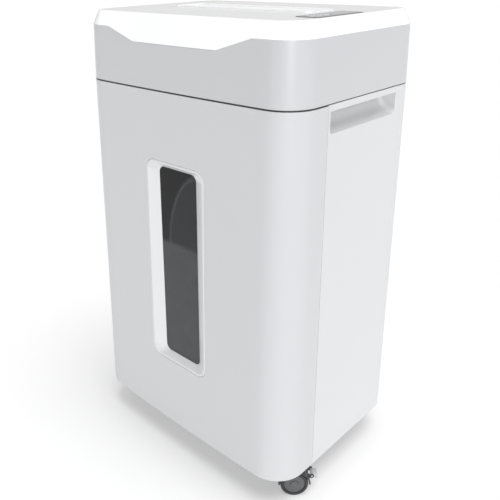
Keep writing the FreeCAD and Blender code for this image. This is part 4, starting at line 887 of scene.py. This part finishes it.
def headBand():
    bm = bmesh.new()
    top = planWall(bm, bandLow.z, bandHigh.z, 0, -plan["draft"])
    followDip(top.verts, plan["fit"])
    bmesh.ops.delete(bm, geom=[top], context="FACES_ONLY")
    band = thicken(asPiece("headBand", bm, faceOut=False), plan["wall"])
    holes = []
    deep = rearFittings["depth"]
    flange = rearFittings["flange"]
    for step in range(vents["count"]):
        x = vents["place"] + vents["pitch"] * (step - (vents["count"] - 1) / 2)
        holes.append(prism("vent", vents["width"], vents["height"], vents["width"] * 0.49, deep,
                           (x, bandHigh.y + deep / 2, cabinetHigh.z + vents["up"]), upright))
    for node in rearFittings["nodes"]:
        low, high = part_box(node)
        holes.append(boxTool((low.x + flange, bandHigh.y - deep, low.z + flange),
                             (high.x - flange, bandHigh.y + deep, high.z - flange)))
    combine(band, "DIFFERENCE", *holes)
    return fit(soften(band, 0.6 * mm), "head_band")


def topCover():
    bm = bmesh.new()
    top = planWall(bm, cover["foot"], coverHigh.z, -plan["draft"], -plan["draft"] - cover["inset"])
    foot = [vert for vert in bm.verts if vert.co.z < cover["foot"] + 0.1 * mm]
    followDip(foot, 0)
    bmesh.ops.bevel(bm, geom=list(top.edges), offset=cover["brow"], offset_type="OFFSET", segments=4,
                    profile=0.5, affect="EDGES", material=-1)
    lid = thicken(asPiece("topCover", bm, faceOut=False), plan["wall"])
    gap = plan["fit"]
    throatLow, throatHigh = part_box("throat_guide")
    stripLow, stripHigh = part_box("control_strip")
    seat, slot = throatHigh - throatLow, stripHigh - stripLow
    centre, stripCentre = (throatLow + throatHigh) / 2, (stripLow + stripHigh) / 2
    flange = throatHigh.z - cover["ledge"]
    ledge = cover["ledge"] * 2
    deep = cover["cutDepth"]
    cuts = [
        prism("seat", seat.x + gap * 2, seat.y + gap * 2, cover["flangeCorner"] + gap, deep,
              (centre.x, centre.y, flange)),
        prism("through", seat.x - ledge, seat.y - ledge, cover["ledge"], deep * 2,
              (centre.x, centre.y, flange - deep)),
        prism("strip", slot.x + gap * 2, slot.y + gap * 2, cover["stripCorner"] + gap, deep,
              (stripCentre.x, stripCentre.y, stripLow.z)),
    ]
    combine(lid, "DIFFERENCE", *cuts)
    combine(lid, "DIFFERENCE", *[keyHole(node) for node in keyNodes])
    return fit(soften(lid, 0.5 * mm), "top_cover")


key = {"radius": 5.5 * mm, "brim": 6.7 * mm, "brimHeight": 1.5 * mm, "crown": 0.5 * mm, "dish": 0.35 * mm}
keyNodes = ("forward_key", "power_key", "reverse_key")


def keyHole(node):
    # a drill through the cover at a key
    radius = key["radius"] + plan["fit"]
    half = cover["cutDepth"]
    return turned("hole", [(-half, 0), (-half, radius), (half, radius), (half, 0)], (0, 0, 1),
                  (*middle(node).xy, coverHigh.z))


throat = {
    "slotWidth": 220 * mm,
    "slotGap": 7 * mm,
    "slotCorner": 3.1 * mm,
    "mouthEase": 4 * mm,
    "funnelGap": 26 * mm,
    "funnelDepth": 9 * mm,
    "hopperDepth": 12 * mm,
    "corner": 3.2 * mm,
    "wall": 3 * mm,
    "rim": 3 * mm,
    "rimCorner": 6.5 * mm,
    "trayEdge": 4 * mm,
    "trayCorner": 6 * mm,
    "trayDepth": 0.9 * mm,
}


def throatGuide():
    # a round-cornered flange, a shallow tray, the funnel and the chute under it
    low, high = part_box("throat_guide")
    size, centre = high - low, (low + high) / 2
    top, flange = high.z, high.z - cover["ledge"]
    tray, funnel, hopper = (top - throat[level] for level in ("trayDepth", "funnelDepth", "hopperDepth"))
    wide, narrow, mouth = throat["slotWidth"], throat["slotGap"], throat["funnelGap"]
    wall = throat["wall"] * 2
    rim, slope = throat["rim"] * 2, throat["trayEdge"] * 2
    corner, slotCorner = throat["corner"], throat["slotCorner"]
    bm = bmesh.new()
    ringStack(bm, [
        (size.x, size.y, cover["flangeCorner"], flange),
        (size.x, size.y, cover["flangeCorner"], top),
        (size.x - rim, size.y - rim, throat["rimCorner"], top),
        (size.x - slope, size.y - slope, throat["trayCorner"], tray),
        (wide + throat["mouthEase"], mouth, corner, tray),
        (wide, narrow, slotCorner, funnel),
        (wide, narrow, slotCorner, low.z),
        (wide + wall, narrow + wall, corner, low.z),
        (wide + wall, narrow + wall, corner, hopper),
        (wide + wall, mouth + wall, corner, hopper),
        (wide + wall, mouth + wall, corner, flange),
    ], closed=True)
    bmesh.ops.translate(bm, vec=(centre.x, centre.y, 0), verts=bm.verts)
    return fit(soften(asPiece("throatGuide", bm), 0.5 * mm), "throat_guide")


display = {"corner": 1.9 * mm, "gap": 0.1 * mm}


def controlStrip():
    low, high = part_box("control_strip")
    size, centre = high - low, (low + high) / 2
    strip = prism("controlStrip", size.x, size.y, cover["stripCorner"], size.z, (centre.x, centre.y, low.z))
    lensLow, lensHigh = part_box("display_lens")
    lensSize, lensCentre = lensHigh - lensLow, (lensLow + lensHigh) / 2
    well = prism("well", lensSize.x + display["gap"] * 2, lensSize.y + display["gap"] * 2,
                 display["corner"] + display["gap"], cover["cutDepth"],
                 (lensCentre.x, lensCentre.y, lensLow.z))
    combine(strip, "DIFFERENCE", well, *[keyHole(node) for node in keyNodes])
    fit(soften(strip, 0.35 * mm), "control_strip")
    lens = prism("displayLens", lensSize.x, lensSize.y, display["corner"], lensSize.z,
                 (lensCentre.x, lensCentre.y, lensLow.z))
    fit(soften(lens, 0.15 * mm, 2), "display_lens")


def pressKey(node):
    # a brimmed key with a rounded crown and a dished middle
    low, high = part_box(node)
    centre = (low + high) / 2
    tall = high.z - low.z
    crown = [(tall - key["crown"] * (1 - math.sin(turn)),
              key["radius"] - key["crown"] * (1 - math.cos(turn))) for turn in quarter]
    rim = key["radius"] - key["crown"] * 2
    dish = [(tall - key["dish"] * (1 - share ** 2), rim * share) for share in (1, 0.75, 0.5, 0.25, 0)]
    brim, height = key["brim"], key["brimHeight"]
    profile = [(0, 0), (0, brim), (height, brim), (height, key["radius"])]
    name = node.split("_")[0] + "Key"
    button = turned(name, profile + crown + dish, (0, 0, 1), (centre.x, centre.y, low.z))
    return fit(soften(button, 0.12 * mm, 2, 50), node)


headBand()
topCover()
throatGuide()
controlStrip()
for node in keyNodes:
    pressKey(node)
print("head is closed")


# casters

wheel = {
    "web": 4.1 * mm,
    "face": 16.1 * mm,
    "radius": 20 * mm,
    "shoulder": 2.6 * mm,
    "rim": 15.6 * mm,
    "dish": 1.7 * mm,
    "cap": 6 * mm,
    "axle": 3 * mm,
}


def casterWheels(name, place):
    # one turned piece: axle, two treads with round shoulders, dished faces and hub caps
    node = name + "_caster_wheels"
    roll = jointOf[name + "_wheel_roll"]
    face, web, shoulder = wheel["face"], wheel["web"], wheel["shoulder"]
    level = wheel["radius"] - shoulder
    outer = [(face - shoulder + shoulder * math.sin(turn), level + shoulder * math.cos(turn))
             for turn in quarter]
    inner = [(web + shoulder - shoulder * math.sin(turn), level + shoulder * math.cos(turn))
             for turn in reversed(quarter)]
    half = [(0, wheel["axle"]), (web, wheel["axle"])] + inner + outer + [
        (face, wheel["rim"]),
        (face - wheel["dish"], wheel["rim"] - 0.8 * mm),
        (face - wheel["dish"], wheel["cap"] + 0.6 * mm),
        (face - 0.4 * mm, wheel["cap"]),
        (face - 0.4 * mm, wheel["cap"] - 1 * mm),
        (face, wheel["cap"] - 2.4 * mm),
        (face, 0),
    ]
    mirrored = [(-along, far) for along, far in reversed(half[1:])]
    pair = turned(place + "Wheels", mirrored + half, roll["axis"], roll["pos_m"], 64)
    return fit(soften(pair, 0.3 * mm, 2, 40), node)


for name in casterNames:
    end, side = name.split("_")
    place = end + side.title()
    casterWheels(name, place)
    fit(softCopy(place + "Fork", name + "_caster_fork", 0.4 * mm), name + "_caster_fork")
    if name + "_caster_brake" in frame["nodes"]:
        fit(softCopy(place + "Brake", name + "_caster_brake", 0.3 * mm), name + "_caster_brake")
print("casters are on")


# pieces whose frame shape is right and only needs its edges eased

easedPieces = {
    "wasteBin": ("waste_bin", 0.7 * mm),
    "basePlate": ("base_plate", 0.4 * mm),
    "runnerLeft": ("runner_left", 0.4 * mm),
    "runnerRight": ("runner_right", 0.4 * mm),
    "headTray": ("head_tray", 0.4 * mm),
    "mainsInlet": ("mains_inlet", 0.35 * mm),
    "rockerHousing": ("rocker_housing", 0.35 * mm),
    "powerRocker": ("power_rocker", 0.3 * mm),
}
for name, (node, width) in easedPieces.items():
    fit(softCopy(name, node, width), node)
print("base, bin and mains pieces are eased")


# floor

def layFloor(size=40.0):
    bm = bmesh.new()
    bmesh.ops.create_grid(bm, x_segments=1, y_segments=1, size=size / 2)
    floor = asPiece("floor", bm, faceOut=False)
    paint = Finish("paleFloor")
    cloud = paint.noise(0.4, detail=3)
    floor.data.materials.append(paint.surface({
        "Base Color": paint.blend((0.56, 0.56, 0.56), (0.59, 0.59, 0.59), cloud),
        "Roughness": 0.75 + (cloud - 0.5) * 0.1,
        "Emission Color": (1, 1, 1),
        "Emission Strength": 0.37,
    }))


layFloor()
